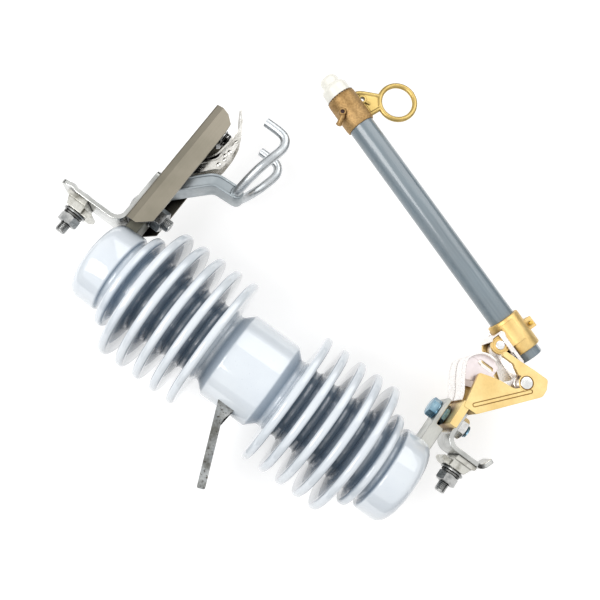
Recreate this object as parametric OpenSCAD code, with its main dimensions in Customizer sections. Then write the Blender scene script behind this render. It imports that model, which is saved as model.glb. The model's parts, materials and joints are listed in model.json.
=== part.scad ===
// Drop-out fuse cutout: a porcelain insulator that leans forward on its mounting bar,
// with a hood and hooks above, a hinge casting below, and a fuse holder that swings open.
// +Z is up, +X points away from the pole, and the origin is on the flat lower face of
// the mounting bar, at the middle of its bolt hole.

/* [Porcelain] */
// Length of the porcelain from end to end
porcelain_length = 337; // [325:1:350]
// Diameter of the core between the sheds
core_d = 68; // [62:1:72]
// Diameter of the large sheds
shed_d = 128; // [116:1:136]
// Diameter of the small shed at each end
shed_small_d = 93; // [86:1:100]
// Distance from one shed to the next
shed_pitch = 17.9; // [17:0.1:18.5]
// Thickness of a shed at its rim
shed_rim = 7.4; // [6:0.1:8]
// Thickness of a shed where it leaves the core
shed_root = 11; // [9:0.5:13]
// Large sheds on each half
shed_count = 5; // [4:1:5]
// Diameter of the plain barrel in the middle
barrel_d = 84; // [78:1:90]
// Length of the straight part of the barrel
barrel_length = 46; // [40:1:50]
// Diameter of the upper end cap of the porcelain
cap_top_d = 76; // [72:1:80]
// Diameter of the lower end cap of the porcelain
cap_bottom_d = 82; // [78:1:84]
// Length of each end cap
cap_length = 28; // [25:1:30]
// Rounding of the end caps
cap_round = 10; // [6:1:12]

/* [Mounting bar] */
// Forward lean of the insulator in service, in degrees
lean = 23; // [18:0.5:26]
// Width of the mounting bar
bar_w = 38; // [34:1:42]
// Thickness of the mounting bar
bar_t = 7; // [6:0.5:9]
// Distance from the bolt hole to the insulator's centre
bar_reach = 88; // [82:1:96]
// Bar beyond the middle of the bolt hole
bar_tip = 18; // [16:1:22]
// Diameter of the bolt hole
bar_hole_d = 14; // [12:0.5:16]
// Depth of the bar in the porcelain
bar_embed = 22; // [16:1:26]
// Extra depth of the bar's root under the barrel
root_drop = 9; // [6:0.5:12]

/* [End inserts and terminals] */
// Width of the steel inserts in the caps
insert_w = 25; // [22:1:28]
// Thickness of the steel inserts
insert_t = 12; // [10:0.5:13]
// Depth of an insert in the porcelain
insert_embed = 20; // [14:1:24]
// Width of the terminal bars
terminal_w = 38; // [32:1:42]
// Thickness of the terminal bars
terminal_t = 4.2; // [3.5:0.1:5]
// Inside radius of the bend in a terminal bar
terminal_bend = 8; // [6:0.5:10]
// Diameter of the bolts through the inserts
bolt_d = 12; // [10:1:12]
// Diameter of the clamp studs
stud_d = 10; // [8:1:12]

/* [Hood] */
// Length of the hood
hood_length = 130; // [120:1:140]
// Width of the hood
hood_w = 51; // [48:1:56]
// Depth of the hood
hood_depth = 22; // [20:1:26]
// Thickness of the hood's sheet
hood_t = 2.5; // [2:0.1:3]

/* [Hooks] */
// Distance between the two hooks
hook_spread = 72; // [66:1:80]
// Diameter of the hook rods
hook_d = 8.5; // [7.5:0.5:9.5]
// Width of the arm that carries the hooks
hook_arm_w = 26; // [22:1:30]
// Thickness of the arm that carries the hooks
hook_arm_t = 10.5; // [9:0.5:11]

/* [Hinge] */
// Distance between the outsides of the hinge plates
hinge_w = 56.8; // [54:0.2:60]
// Thickness of a hinge plate
hinge_plate_t = 5; // [4:0.5:6]
// Diameter of the hinge pin
hinge_pin_d = 11; // [10:0.5:12]
// Diameter of the trunnion's hub
hub_d = 18; // [17:0.5:20]
// Diameter of the toggle pin
toggle_pin_d = 7; // [6:0.5:8]
// Distance from the lower end cap out to the hinge pin
pin_reach = 90.1; // [88:0.1:92]
// Hinge pin below the end of the porcelain
pin_drop = 31.8; // [30:0.1:33]
// Toggle pin out from the hinge pin
toggle_reach = 18.2; // [17:0.1:19]
// Toggle pin above the hinge pin
toggle_rise = 33.9; // [33:0.1:35]

/* [Fuse holder] */
// Opening angle between the tube and the insulator
open_angle = 18.8; // [18.8:0.1:20]
// Outside diameter of the fuse tube
tube_d = 24.6; // [23:0.1:25.6]
// Bore of the fuse tube
tube_bore = 15; // [12:0.5:17]
// Fuse tube below the toggle pin
tube_tail = 26.7; // [24:0.1:28]
// Top of the upper ferrule above the toggle pin
holder_length = 273; // [266:0.5:273]
// Distance from the toggle pin to the tube's axis
pivot_back = 21.5; // [21.4:0.1:23]
// Diameter of the lower ferrule
lower_ferrule_d = 31; // [30:0.5:32]
// Diameter of the upper ferrule
upper_ferrule_d = 28.4; // [28:0.2:30]
// Length of each ferrule
ferrule_length = 35; // [32:1:37]
// Inside diameter of the pull ring
ring_bore = 29; // [26:0.5:31]
// Thickness of the pull ring's section
ring_section = 5; // [4:0.5:6]

/* [Hidden] */
$fn = 48;

porcelain = "lightsteelblue";
steel = "silver";
zinc = "lightblue";
brass = "burlywood";
taupe = "tan";
glass_fibre = "slategray";

play = 0.05;
seat = 0.3;
through = 200;
half = porcelain_length / 2;
cap_neck = 10.7;
shed_first = half - cap_length - cap_neck - shed_count * shed_pitch;

// Where the insulator's centre sits, seen from the bolt hole
bar_axis_drop = 14;

module in_service() {
  translate([bar_reach, 0, -bar_axis_drop]) rotate([0, lean, 0]) children();
}

// A flat outline in the X-Z plane, made w thick about the plane y = 0
module slab(w) {
  rotate([90, 0, 0]) linear_extrude(height = w, center = true) children();
}

function unit(v) = v / norm(v);
function heading(path, i) = unit(path[min(i + 1, len(path) - 1)] - path[max(i - 1, 0)]);
function left_of(v) = [-v[1], v[0]];

// Points of a quadratic curve from a to c that bends towards b
function bend(a, b, c, steps) = [for (i = [0 : steps]) let (t = i / steps)
  (1 - t) * (1 - t) * a + 2 * t * (1 - t) * b + t * t * c];

// The path with each inner corner eased, starting r before it and ending r after it
function eased(path, r, steps) = concat([path[0]],
  [for (i = [1 : len(path) - 2]) each bend(path[i] + r * unit(path[i - 1] - path[i]), path[i],
    path[i] + r * unit(path[i + 1] - path[i]), steps)],
  [path[len(path) - 1]]);

// Sideways step at point i that keeps a strip's thickness on both runs that meet there
function mitre(path, i) =
  let (before = left_of(unit(path[max(i, 1)] - path[max(i, 1) - 1])),
    after = left_of(unit(path[min(i, len(path) - 2) + 1] - path[min(i, len(path) - 2)])),
    middle = unit(before + after))
  middle / (middle * before);

// Outline of a bent strip of thickness t along the path
module strip(path, t) {
  count = len(path);
  polygon(concat([for (i = [0 : count - 1]) path[i] + t / 2 * mitre(path, i)],
    [for (i = [count - 1 : -1 : 0]) path[i] - t / 2 * mitre(path, i)]));
}

module cross_rod(x, z, d, w) {
  translate([x, 0, z]) rotate([90, 0, 0]) cylinder(h = w, d = d, center = true);
}

module hex(across, h) {
  cylinder(h = h, d = across / cos(30), $fn = 6);
}

// ---- Porcelain -----------------------------------------------------------------

module shed(z, d) {
  reach = d / 2 - shed_rim / 2;
  translate([0, 0, z]) rotate_extrude($fn = 96) {
    polygon([[core_d / 4, -shed_root / 2], [core_d / 2, -shed_root / 2], [reach, -shed_rim / 2],
      [reach, shed_rim / 2], [core_d / 2, shed_root / 2], [core_d / 4, shed_root / 2]]);
    translate([reach, 0]) circle(d = shed_rim);
  }
}

module end_cap(d) {
  rotate_extrude($fn = 96) {
    translate([0, half - cap_length]) square([d / 2 - cap_round, cap_length]);
    translate([0, half - cap_length + 3]) square([d / 2, cap_length - cap_round - 3]);
    translate([d / 2 - 3, half - cap_length + 3]) circle(r = 3);
    translate([0, half - cap_length]) square([d / 2 - 3, 4]);
    translate([d / 2 - cap_round, half - cap_round]) circle(r = cap_round);
  }
}

module insulator() {
  color(porcelain) in_service() difference() {
    union() {
      cylinder(h = porcelain_length - 2 * cap_length + 2, d = core_d, center = true, $fn = 96);
      rotate_extrude($fn = 96) polygon([[0, -barrel_length / 2 - 8], [core_d / 2, -barrel_length / 2 - 8],
        [barrel_d / 2 - 1.5, -barrel_length / 2 - 1.5], [barrel_d / 2, -barrel_length / 2 + 1.5],
        [barrel_d / 2, barrel_length / 2 - 1.5], [barrel_d / 2 - 1.5, barrel_length / 2 + 1.5],
        [core_d / 2, barrel_length / 2 + 8], [0, barrel_length / 2 + 8]]);
      end_cap(cap_top_d);
      mirror([0, 0, 1]) end_cap(cap_bottom_d);
      for (side = [-1, 1]) {
        for (i = [0 : shed_count - 1]) shed(side * (shed_first + i * shed_pitch), shed_d);
        shed(side * (shed_first + shed_count * shed_pitch), shed_small_d);
      }
    }
    bar_pocket();
    upper_insert_shape();
    lower_insert_shape();
  }
}

// ---- Mounting bar --------------------------------------------------------------

// The bar in its own service frame, from its tip to its seat inside the barrel
bar_root_x = bar_reach - barrel_d / 2 / cos(lean);
bar_end_x = bar_root_x + bar_embed;

module bar_outline() {
  polygon([[-bar_tip, 0], [bar_root_x - 16, 0], [bar_root_x - 2, -root_drop],
    [bar_end_x, -root_drop], [bar_end_x, bar_t], [-bar_tip, bar_t]]);
}

module bar_pocket() {
  rotate([0, -lean, 0]) translate([-bar_reach, 0, bar_axis_drop]) slab(bar_w) bar_outline();
}

module mounting_bar() {
  color(steel) difference() {
    intersection() {
      slab(bar_w) bar_outline();
      union() {
        cylinder(h = through, d = bar_w, center = true);
        translate([0, -bar_w / 2, -through / 2]) cube([bar_end_x + 1, bar_w, through]);
      }
    }
    translate([0, 0, -1]) cylinder(h = bar_t + 2, d = bar_hole_d);
  }
}

// ---- Upper end -----------------------------------------------------------------

cap_top_x = cap_top_d / 2;
hood_x = cap_top_x + 3;
hood_top = half - 3.8;
bolt_x = cap_top_x + 22;
upper_leg_x = cap_top_x - 3.5;
clamp_rise = 42;

module upper_insert_shape() {
  translate([cap_top_x - insert_embed, -insert_w / 2, hood_top - hood_t - insert_t])
    cube([insert_embed + 38, insert_w, insert_t]);
}

module upper_insert() {
  color(steel) in_service() difference() {
    upper_insert_shape();
    translate([bolt_x, 0, 0]) cylinder(h = 2 * half, d = bolt_d + 2 * play);
  }
}

// Outline of an L-shaped terminal bar: foot along +X at z = 0, leg along +Z at x = 0
module terminal_outline(foot, leg) {
  r = terminal_bend;
  t = terminal_t;
  difference() {
    union() {
      translate([r + t, 0]) square([foot - r - t, t]);
      translate([0, r + t]) square([t, leg - r - t]);
      translate([r + t, r + t]) circle(r = r + t);
    }
    translate([r + t, r + t]) circle(r = r);
    translate([r + t, t]) square([foot, 2 * r + t]);
    translate([t, r + t]) square([2 * r + t, leg]);
  }
}

module upper_terminal_bar() {
  color(steel) in_service() difference() {
    translate([upper_leg_x - terminal_t / 2, 0, hood_top]) slab(terminal_w) terminal_outline(60, 64);
    translate([bolt_x, 0, hood_top - 1]) cylinder(h = terminal_t + 2, d = bolt_d + 2 * play);
    translate([upper_leg_x, 0, hood_top + clamp_rise]) rotate([0, 90, 0])
      cylinder(h = 4 * terminal_t, d = stud_d + 2 * play, center = true);
  }
}

module upper_bolt() {
  color(steel) in_service() translate([bolt_x, 0, hood_top + terminal_t]) {
    intersection() {
      cylinder(h = 5.5, d = 23);
      translate([0, 0, -9]) sphere(d = 29);
    }
    translate([0, 0, -36]) cylinder(h = 36.5, d = bolt_d);
  }
}

module upper_bolt_nut() {
  color(steel) in_service() translate([bolt_x, 0, hood_top - hood_t - insert_t]) mirror([0, 0, 1])
    difference() {
      hex(bolt_d * 1.55, 11);
      translate([0, 0, -1]) cylinder(h = 13, d = bolt_d + 2 * play);
    }
}

// ---- Conductor clamps ----------------------------------------------------------

// The clamp sits on the back of a terminal bar: stud along -X, groove across.
keeper_depth = 12;
groove_d = 9;
groove_z = 11;
washer_t = 2;
lock_washer_t = 2.6;
clamp_nut_t = 8.4;

module clamp_stud() {
  rotate([0, 90, 0]) {
    translate([0, 0, -34]) cylinder(h = 34 + terminal_t, d = stud_d);
    translate([0, 0, terminal_t]) cylinder(h = 3.2, d = stud_d * 1.9);
  }
}

module clamp_keeper() {
  difference() {
    slab(terminal_w - 6) union() {
      polygon([[0, -15], [0, 17], [-3, 18], [-keeper_depth, 8], [-keeper_depth, -8], [-4, -17]]);
    }
    for (z = [-groove_z, groove_z]) translate([-2.2, 0, z]) rotate([90, 0, 0])
      cylinder(h = terminal_w + 2, d = groove_d, center = true);
    rotate([0, 90, 0]) cylinder(h = 4 * keeper_depth, d = stud_d + 2 * play, center = true);
  }
}

module clamp_washer() {
  translate([-keeper_depth - washer_t, 0, 0]) rotate([0, 90, 0]) difference() {
    cylinder(h = washer_t, d = stud_d * 2.1);
    translate([0, 0, -1]) cylinder(h = washer_t + 2, d = stud_d + 2 * play);
  }
}

module clamp_lock_washer() {
  translate([-keeper_depth - washer_t - lock_washer_t, 0, 0]) rotate([0, 90, 0]) difference() {
    cylinder(h = lock_washer_t, d = stud_d * 1.75);
    translate([0, 0, -1]) cylinder(h = lock_washer_t + 2, d = stud_d + 2 * play);
    translate([0, 0, -1]) rotate(20) translate([0, -0.6, 0]) cube([stud_d, 1.2, lock_washer_t + 2]);
  }
}

module clamp_nut() {
  translate([-keeper_depth - washer_t - lock_washer_t - clamp_nut_t, 0, 0]) rotate([0, 90, 0])
    difference() {
      hex(stud_d * 1.65, clamp_nut_t);
      translate([0, 0, -1]) cylinder(h = clamp_nut_t + 2, d = stud_d + 2 * play);
    }
}

module at_upper_clamp() {
  in_service() translate([upper_leg_x - terminal_t / 2, 0, hood_top + clamp_rise]) children();
}

module upper_clamp_stud() { color(steel) at_upper_clamp() clamp_stud(); }
module upper_clamp_keeper() { color(steel) at_upper_clamp() clamp_keeper(); }
module upper_clamp_washer() { color(steel) at_upper_clamp() clamp_washer(); }
module upper_clamp_lock_washer() { color(steel) at_upper_clamp() clamp_lock_washer(); }
module upper_clamp_nut() { color(steel) at_upper_clamp() clamp_nut(); }

// ---- Hood, upper contact and hooks ---------------------------------------------

hood_end = hood_x + hood_length;
hood_low = hood_top - hood_depth;

module hood_side() {
  polygon([[hood_x, hood_top], [hood_end, hood_top], [hood_end - 2, hood_top - 14],
    [hood_end - 8, hood_low + 1], [hood_end - 17, hood_low], [hood_x + 10, hood_low],
    [hood_x, hood_top - 11]]);
}

module hood() {
  color(taupe) in_service() difference() {
    slab(hood_w) hood_side();
    translate([hood_x - 1, 0, 0]) translate([0, hood_t - hood_w / 2, hood_low - 1])
      cube([hood_length + 2, hood_w - 2 * hood_t, hood_depth - hood_t + 1]);
    translate([bolt_x, 0, hood_top - hood_t - 1]) cylinder(h = hood_t + 2, d = bolt_d + 2 * play);
    translate([spring_x, 0, hood_top - hood_t - 1]) cylinder(h = hood_t + 2, d = spring_bolt_d + 2 * play);
  }
}

contact_t = 2.5;
contact_w = 22;
contact_low = half - 32.8;
spring_x = hood_end - 24;
spring_bolt_d = 6;
contact_path = [[hood_x + 74, hood_top - hood_t - contact_t / 2], [hood_x + 84, hood_top - hood_t - contact_t / 2],
  [spring_x - 8, contact_low + 5.5], [spring_x + 9, contact_low + contact_t / 2],
  [spring_x + 16, contact_low + contact_t / 2], [hood_end + 5, contact_low + 8], [hood_end + 16, contact_low + 17]];

module upper_contact() {
  color(steel) in_service() difference() {
    union() {
      slab(contact_w) strip(eased(contact_path, 3, 3), contact_t);
      translate([spring_x - 1, 0, contact_low + 5.5]) rotate([0, 25, 0]) translate([0, 0, 4])
        intersection() {
          sphere(d = 18);
          translate([-15, -15, -30]) cube([30, 30, 26]);
        }
    }
  }
}

spring_turns = 5;
spring_wire = 2.2;
spring_d = 15;

module contact_spring() {
  low = contact_low + 9.5;
  high = hood_top - hood_t - spring_wire / 2 - seat;
  path = [for (i = [0 : 14 * spring_turns]) let (a = 360 * i / 14, t = i / (14 * spring_turns))
    [(spring_d - spring_wire) / 2 * cos(a), (spring_d - spring_wire) / 2 * sin(a), low + t * (high - low)]];
  color("dimgray") in_service() translate([spring_x, 0, 0]) swept_rod(path, spring_wire, [0, 0, 1], 8);
}

module spring_bolt() {
  color(steel) in_service() translate([spring_x, 0, contact_low + 12]) {
    cylinder(h = hood_top - contact_low - 12, d = spring_bolt_d);
    translate([0, 0, hood_top - contact_low - 12]) cylinder(h = 2, d = 11);
  }
}

arm_top = hood_top - hood_t - hook_arm_t / 2;
hook_x = 120;
hook_z = 104;

module hook_arm() {
  color(steel) in_service() {
    slab(hook_arm_w) strip(eased([[bolt_x + 18, arm_top], [bolt_x + 27, arm_top], [hook_x - 6, hook_z + 33],
      [hook_x + 2, hook_z + 18], [hook_x, hook_z - 4]], 6, 5), hook_arm_t);
    cross_rod(hook_x, hook_z - 4, hook_arm_t, hook_arm_w);
  }
}

// A round rod of diameter d swept along a smooth path in space, with flat ends.
// The path never runs along side_axis.
function cross3(a, b) = [a[1] * b[2] - a[2] * b[1], a[2] * b[0] - a[0] * b[2], a[0] * b[1] - a[1] * b[0]];

module swept_rod(path, d, side_axis, sides) {
  points = [for (i = [0 : len(path) - 1]) let (
    along = heading(path, i),
    across = unit(cross3(along, side_axis)),
    up = cross3(across, along))
    for (k = [0 : sides - 1]) let (a = 360 * k / sides)
      path[i] + d / 2 * (cos(a) * across + sin(a) * up)];
  last = (len(path) - 1) * sides;
  walls = [for (i = [0 : len(path) - 2]) for (k = [0 : sides - 1]) let (
    k2 = (k + 1) % sides, low = i * sides, high = low + sides)
    [low + k, low + k2, high + k2, high + k]];
  polyhedron(points = points, faces = concat(
    [[for (k = [sides - 1 : -1 : 0]) k]], walls, [[for (k = [0 : sides - 1]) last + k]]));
}

// A hook rod leaves the arm, spreads sideways, runs forward and turns up at its tip.
hook_reach = 60;
hook_rise = 31;

module hook(side) {
  s = side * hook_spread / 2;
  start = [hook_x, side * hook_arm_w / 2, hook_z - 4];
  leaving = start + [0, 1.5 * side, 0];
  spread = [hook_x + 11, side * (hook_arm_w / 2 + 9), hook_z - 7];
  forward = [hook_x + 36, s, hook_z - 14];
  corner = [hook_x + hook_reach, s, hook_z - 19];
  rising = [hook_x + hook_reach, s, hook_z];
  tip = [hook_x + hook_reach, s, hook_z - 17 + hook_rise];
  path = concat([start], bend(leaving, leaving + [1.5, 3 * side, -0.5], spread, 4),
    bend(spread + [4, 4 * side, -1], [hook_x + 28, s, hook_z - 12], forward, 5),
    bend(forward + [5, 0, -1], corner, rising, 8), [tip]);
  in_service() swept_rod(path, hook_d, [1, 0, -1], 14);
}

module hook_left() { color(steel) hook(1); }
module hook_right() { color(steel) hook(-1); }

// ---- Lower end -----------------------------------------------------------------

cap_bottom_x = cap_bottom_d / 2;
low_top = -half + 14.5;
low_tongue = 4.5;
low_bolt_x = cap_bottom_x + 29;
foot_top = low_top - low_tongue - 5.5;
foot_t = 7;
low_leg_x = cap_bottom_x + 6;
low_bar_z = foot_top - foot_t;

module lower_insert_shape() {
  translate([cap_bottom_x - insert_embed, -insert_w / 2, low_top - insert_t])
    cube([insert_embed + 17, insert_w, insert_t]);
}

module lower_insert() {
  color(steel) in_service() difference() {
    union() {
      lower_insert_shape();
      translate([cap_bottom_x, -insert_w / 2, low_top - low_tongue]) cube([42, insert_w, low_tongue]);
    }
    translate([low_bolt_x, 0, low_top - 10]) cylinder(h = 12, d = bolt_d + 2 * play);
  }
}

module lower_bolt() {
  color(zinc) in_service() translate([low_bolt_x, 0, low_top]) {
    hex(bolt_d * 1.5, 8);
    translate([0, 0, -34]) cylinder(h = 34.5, d = bolt_d);
  }
}

module lower_spacer() {
  color(zinc) in_service() translate([low_bolt_x, 0, foot_top]) difference() {
    hex(bolt_d * 1.5, low_top - low_tongue - foot_top);
    translate([0, 0, -1]) cylinder(h = 12, d = bolt_d + 2 * play);
  }
}

module lower_terminal_bar() {
  color(steel) in_service() difference() {
    union() {
      translate([low_leg_x, 0, low_bar_z]) mirror([0, 0, 1]) slab(terminal_w) terminal_outline(33, 40);
      translate([low_leg_x, 0, low_bar_z]) slab(terminal_w) strip(eased([[terminal_t / 2, -36],
        [terminal_t / 2, -41], [12, -50], [14, -50]], 1.5, 3), terminal_t * 0.8);
    }
    translate([low_bolt_x, 0, low_bar_z - terminal_t - 1]) cylinder(h = terminal_t + 2, d = bolt_d + 2 * play);
    translate([low_leg_x, 0, low_bar_z - 24]) rotate([0, 90, 0])
      cylinder(h = 4 * terminal_t, d = stud_d + 2 * play, center = true);
  }
}

module lower_bolt_nut() {
  color(steel) in_service() translate([low_bolt_x, 0, low_bar_z - terminal_t]) mirror([0, 0, 1])
    difference() {
      hex(bolt_d * 1.5, 9);
      translate([0, 0, -1]) cylinder(h = 11, d = bolt_d + 2 * play);
    }
}

module at_lower_clamp() {
  in_service() translate([low_leg_x, 0, low_bar_z - 24]) children();
}

module lower_clamp_stud() { color(steel) at_lower_clamp() clamp_stud(); }
module lower_clamp_keeper() { color(steel) at_lower_clamp() mirror([0, 0, 1]) clamp_keeper(); }
module lower_clamp_washer() { color(steel) at_lower_clamp() clamp_washer(); }
module lower_clamp_lock_washer() { color(steel) at_lower_clamp() clamp_lock_washer(); }
module lower_clamp_nut() { color(steel) at_lower_clamp() clamp_nut(); }

// ---- Hinge casting and lower contacts -------------------------------------------

pin_x = cap_bottom_x + pin_reach;
pin_z = -half - pin_drop;
plate_in = hinge_w / 2 - hinge_plate_t;

// One side plate: a jaw under the pin and an arm in front of it, with a notch between
module plate_outline() {
  difference() {
    polygon([[pin_x - 49.7, foot_top - 2], [pin_x - 17.7, foot_top + 3], [pin_x - 14.7, pin_z + 30],
      [pin_x - 12.3, pin_z + 21], [pin_x - 10.6, pin_z + 5.8], [pin_x, pin_z],
      [pin_x + 1.6, pin_z + 9.5], [pin_x + 4.9, pin_z + 15.7], [pin_x + 7, pin_z + 18.3],
      [pin_x + 7.1, pin_z + 31.4], [pin_x + 12.2, pin_z + 30.4], [pin_x + 12.7, pin_z + 13.5],
      [pin_x + 13.5, pin_z], [pin_x + 13.7, pin_z - 12.9], [pin_x + 12.8, pin_z - 14.6],
      [pin_x + 5.6, pin_z - 18], [pin_x - 1.6, pin_z - 18.4], [pin_x - 49, foot_top - 14.9]]);
    translate([pin_x, pin_z]) circle(d = hinge_pin_d + 2 * seat);
  }
}

module hinge_casting() {
  color(brass) in_service() difference() {
    union() {
      for (side = [-1, 1]) translate([0, side * (hinge_w - hinge_plate_t) / 2, 0])
        slab(hinge_plate_t) plate_outline();
      translate([cap_bottom_x + 21, -hinge_w / 2, foot_top - foot_t]) cube([24, hinge_w, foot_t]);
      slab(hinge_w) polygon([[pin_x - 49.7, foot_top - 2], [pin_x - 44, foot_top - 1.2],
        [pin_x - 42, foot_top - 13], [pin_x - 26, foot_top - 27], [pin_x - 30, foot_top - 31],
        [pin_x - 49, foot_top - 14.9]]);
    }
    translate([low_bolt_x, 0, foot_top - foot_t - 1]) cylinder(h = foot_t + 2, d = bolt_d + 2 * play);
  }
}

strip_w = 4.6;
strip_y = plate_in - 0.5 - strip_w / 2;

module lower_contact(side) {
  in_service() translate([0, side * strip_y, 0]) slab(strip_w) strip(eased([[pin_x - 46, foot_top + 1.2],
    [pin_x - 38, foot_top + 4], [pin_x - 27, foot_top + 10.5], [pin_x - 12, foot_top + 17.5],
    [pin_x - 2, foot_top + 11], [pin_x + 2, foot_top + 3], [pin_x + 1.5, foot_top - 6]], 4, 4), 2.2);
}

module lower_contact_left() { color(steel) lower_contact(1); }
module lower_contact_right() { color(steel) lower_contact(-1); }

// ---- Trunnion -------------------------------------------------------------------

toggle_x = pin_x + toggle_reach;
toggle_z = pin_z + toggle_rise;
link = [toggle_x - pin_x, toggle_z - pin_z];
link_angle = atan2(link[1], link[0]);
hub_w = 2 * plate_in - 6.8;
ear_in = 9.3;
ear_t = 4;
tongue_w = 2 * ear_in - 0.6;
eye_d = toggle_pin_d + 4.4;
tongue_d = 10.4;

module hinge_pin() {
  color(steel) in_service() cross_rod(pin_x, pin_z, hinge_pin_d, hinge_w + 1);
}

module trunnion() {
  color(steel) in_service() difference() {
    union() {
      cross_rod(pin_x, pin_z, hub_d, hub_w);
      cross_rod(toggle_x, toggle_z, eye_d, tongue_w);
      slab(tongue_w) translate([pin_x, pin_z]) rotate(link_angle) polygon([[0, -tongue_d / 2],
        [norm(link), -tongue_d / 2], [norm(link), tongue_d / 2], [0, tongue_d / 2]]);
    }
    cross_rod(pin_x, pin_z, hinge_pin_d + 2 * play, hub_w + 2);
    cross_rod(toggle_x, toggle_z, toggle_pin_d + 2 * play, tongue_w + 2);
  }
}

module toggle_pin() {
  color(steel) in_service() {
    cross_rod(toggle_x, toggle_z, toggle_pin_d, 2 * (ear_in + ear_t) + 0.4);
  }
}

// ---- Fuse holder ----------------------------------------------------------------

// The holder is drawn in a frame of its own: origin on the tube's axis beside the
// toggle pin, +Z up along the tube, +X to the front.
module on_holder() {
  in_service() translate([toggle_x, 0, toggle_z]) rotate([0, open_angle, 0])
    translate([pivot_back, 0, 0]) children();
}

ferrule_lip = 5;
tube_low = -tube_tail;
tube_top = holder_length - ferrule_lip;
lower_ferrule_top = 16.6;
upper_ferrule_top = holder_length;
upper_ferrule_low = upper_ferrule_top - ferrule_length;
cap_step = upper_ferrule_top + 13.5;
cap_tip = upper_ferrule_top + 23;

module fuse_tube() {
  color(glass_fibre) on_holder() difference() {
    translate([0, 0, tube_low]) cylinder(h = tube_top - tube_low, d = tube_d, $fn = 64);
    translate([0, 0, tube_low - 1]) cylinder(h = tube_top - tube_low - 14, d = tube_bore);
  }
}

screw_d = 4;
lug_x = lower_ferrule_d / 2 + 2;
lug_z = lower_ferrule_top - 10.5;

module lower_ferrule() {
  low = lower_ferrule_top - ferrule_length;
  color(brass) on_holder() difference() {
    union() {
      translate([0, 0, low]) cylinder(h = ferrule_length, d = lower_ferrule_d, $fn = 64);
      for (side = [-1, 1]) translate([0, side * (ear_in + ear_t / 2), 0]) {
        translate([-pivot_back, 0, 0]) rotate([90, 0, 0]) cylinder(h = ear_t, d = 16, center = true);
        translate([-pivot_back, -ear_t / 2, -8]) cube([pivot_back, ear_t, 16]);
      }
      translate([lower_ferrule_d / 2 - 3, -6, lower_ferrule_top - 16]) cube([9, 12, 11]);
    }
    translate([0, 0, low - 1]) cylinder(h = ferrule_length + 2, d = tube_d, $fn = 64);
    translate([-pivot_back, 0, 0]) rotate([90, 0, 0])
      cylinder(h = through, d = toggle_pin_d + 2 * play, center = true);
    translate([lug_x, 0, lug_z]) rotate([90, 0, 0])
      cylinder(h = through, d = screw_d + 2 * play, center = true);
  }
}

module clamp_screw() {
  color(brass) on_holder() translate([lug_x, 0, lug_z]) rotate([90, 0, 0]) {
    cylinder(h = 15, d = screw_d, center = true);
    translate([0, 0, 6]) cylinder(h = 3, d = 7);
  }
}

strap_y = ear_in + ear_t + seat;
strap_t = 1.5;

// A stainless lever folded to a channel behind the lower ferrule, with a side over each ear
module link_strap() {
  back = -lower_ferrule_d / 2 - seat - strap_t;
  color(steel) on_holder() {
    translate([back, -strap_y - strap_t, -25]) cube([strap_t, 2 * (strap_y + strap_t), 14]);
    for (side = [-1, 1]) translate([back, side * (strap_y + strap_t / 2) - strap_t / 2, -25])
      cube([4.6, strap_t, 32]);
  }
}

module upper_ferrule() {
  color(brass) on_holder() difference() {
    translate([0, 0, upper_ferrule_low]) cylinder(h = ferrule_length, d = upper_ferrule_d, $fn = 64);
    translate([0, 0, upper_ferrule_low - 1]) cylinder(h = tube_top - upper_ferrule_low + 1, d = tube_d, $fn = 64);
  }
}

ring_x = 43.1;
ring_z = upper_ferrule_low + 1;

module pull_ring() {
  color(brass) on_holder() {
    translate([ring_x, 0, ring_z]) rotate([90, 0, 0])
      rotate_extrude($fn = 96) translate([(ring_bore + ring_section) / 2, 0]) circle(d = ring_section);
    difference() {
      slab(ring_section) polygon([[upper_ferrule_d / 2 - 2, ring_z + 3], [upper_ferrule_d / 2 - 2, ring_z + 30],
        [upper_ferrule_d / 2 + 5, ring_z + 27], [ring_x - 9, ring_z + 15], [ring_x - 15, ring_z + 4]]);
      translate([0, 0, upper_ferrule_low - 1]) cylinder(h = ferrule_length + 2, d = upper_ferrule_d, $fn = 64);
    }
  }
}

module tube_cap() {
  color("ivory") on_holder() {
    translate([0, 0, upper_ferrule_top]) cylinder(h = cap_step - upper_ferrule_top, d = 25.6, $fn = 64);
    translate([0, 0, cap_step]) cylinder(h = cap_tip - cap_step - 4, d = 17.4);
    intersection() {
      translate([0, 0, cap_step]) cylinder(h = cap_tip - cap_step, d = 17.4);
      translate([0, 0, cap_tip - 16]) sphere(r = 16);
    }
  }
}

insulator();
mounting_bar();
upper_insert();
upper_terminal_bar();
upper_bolt();
upper_bolt_nut();
upper_clamp_stud();
upper_clamp_keeper();
upper_clamp_washer();
upper_clamp_lock_washer();
upper_clamp_nut();
hood();
upper_contact();
contact_spring();
spring_bolt();
hook_arm();
hook_left();
hook_right();
lower_insert();
lower_bolt();
lower_spacer();
lower_bolt_nut();
lower_terminal_bar();
lower_clamp_stud();
lower_clamp_keeper();
lower_clamp_washer();
lower_clamp_lock_washer();
lower_clamp_nut();
hinge_casting();
lower_contact_left();
lower_contact_right();
hinge_pin();
trunnion();
toggle_pin();
fuse_tube();
lower_ferrule();
clamp_screw();
link_strap();
upper_ferrule();
pull_ring();
tube_cap();
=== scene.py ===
"""Studio scene of a drop-out fuse cutout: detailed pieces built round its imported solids."""
import json
import math

import bmesh
import bpy
from mathutils import Matrix, Vector

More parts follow.
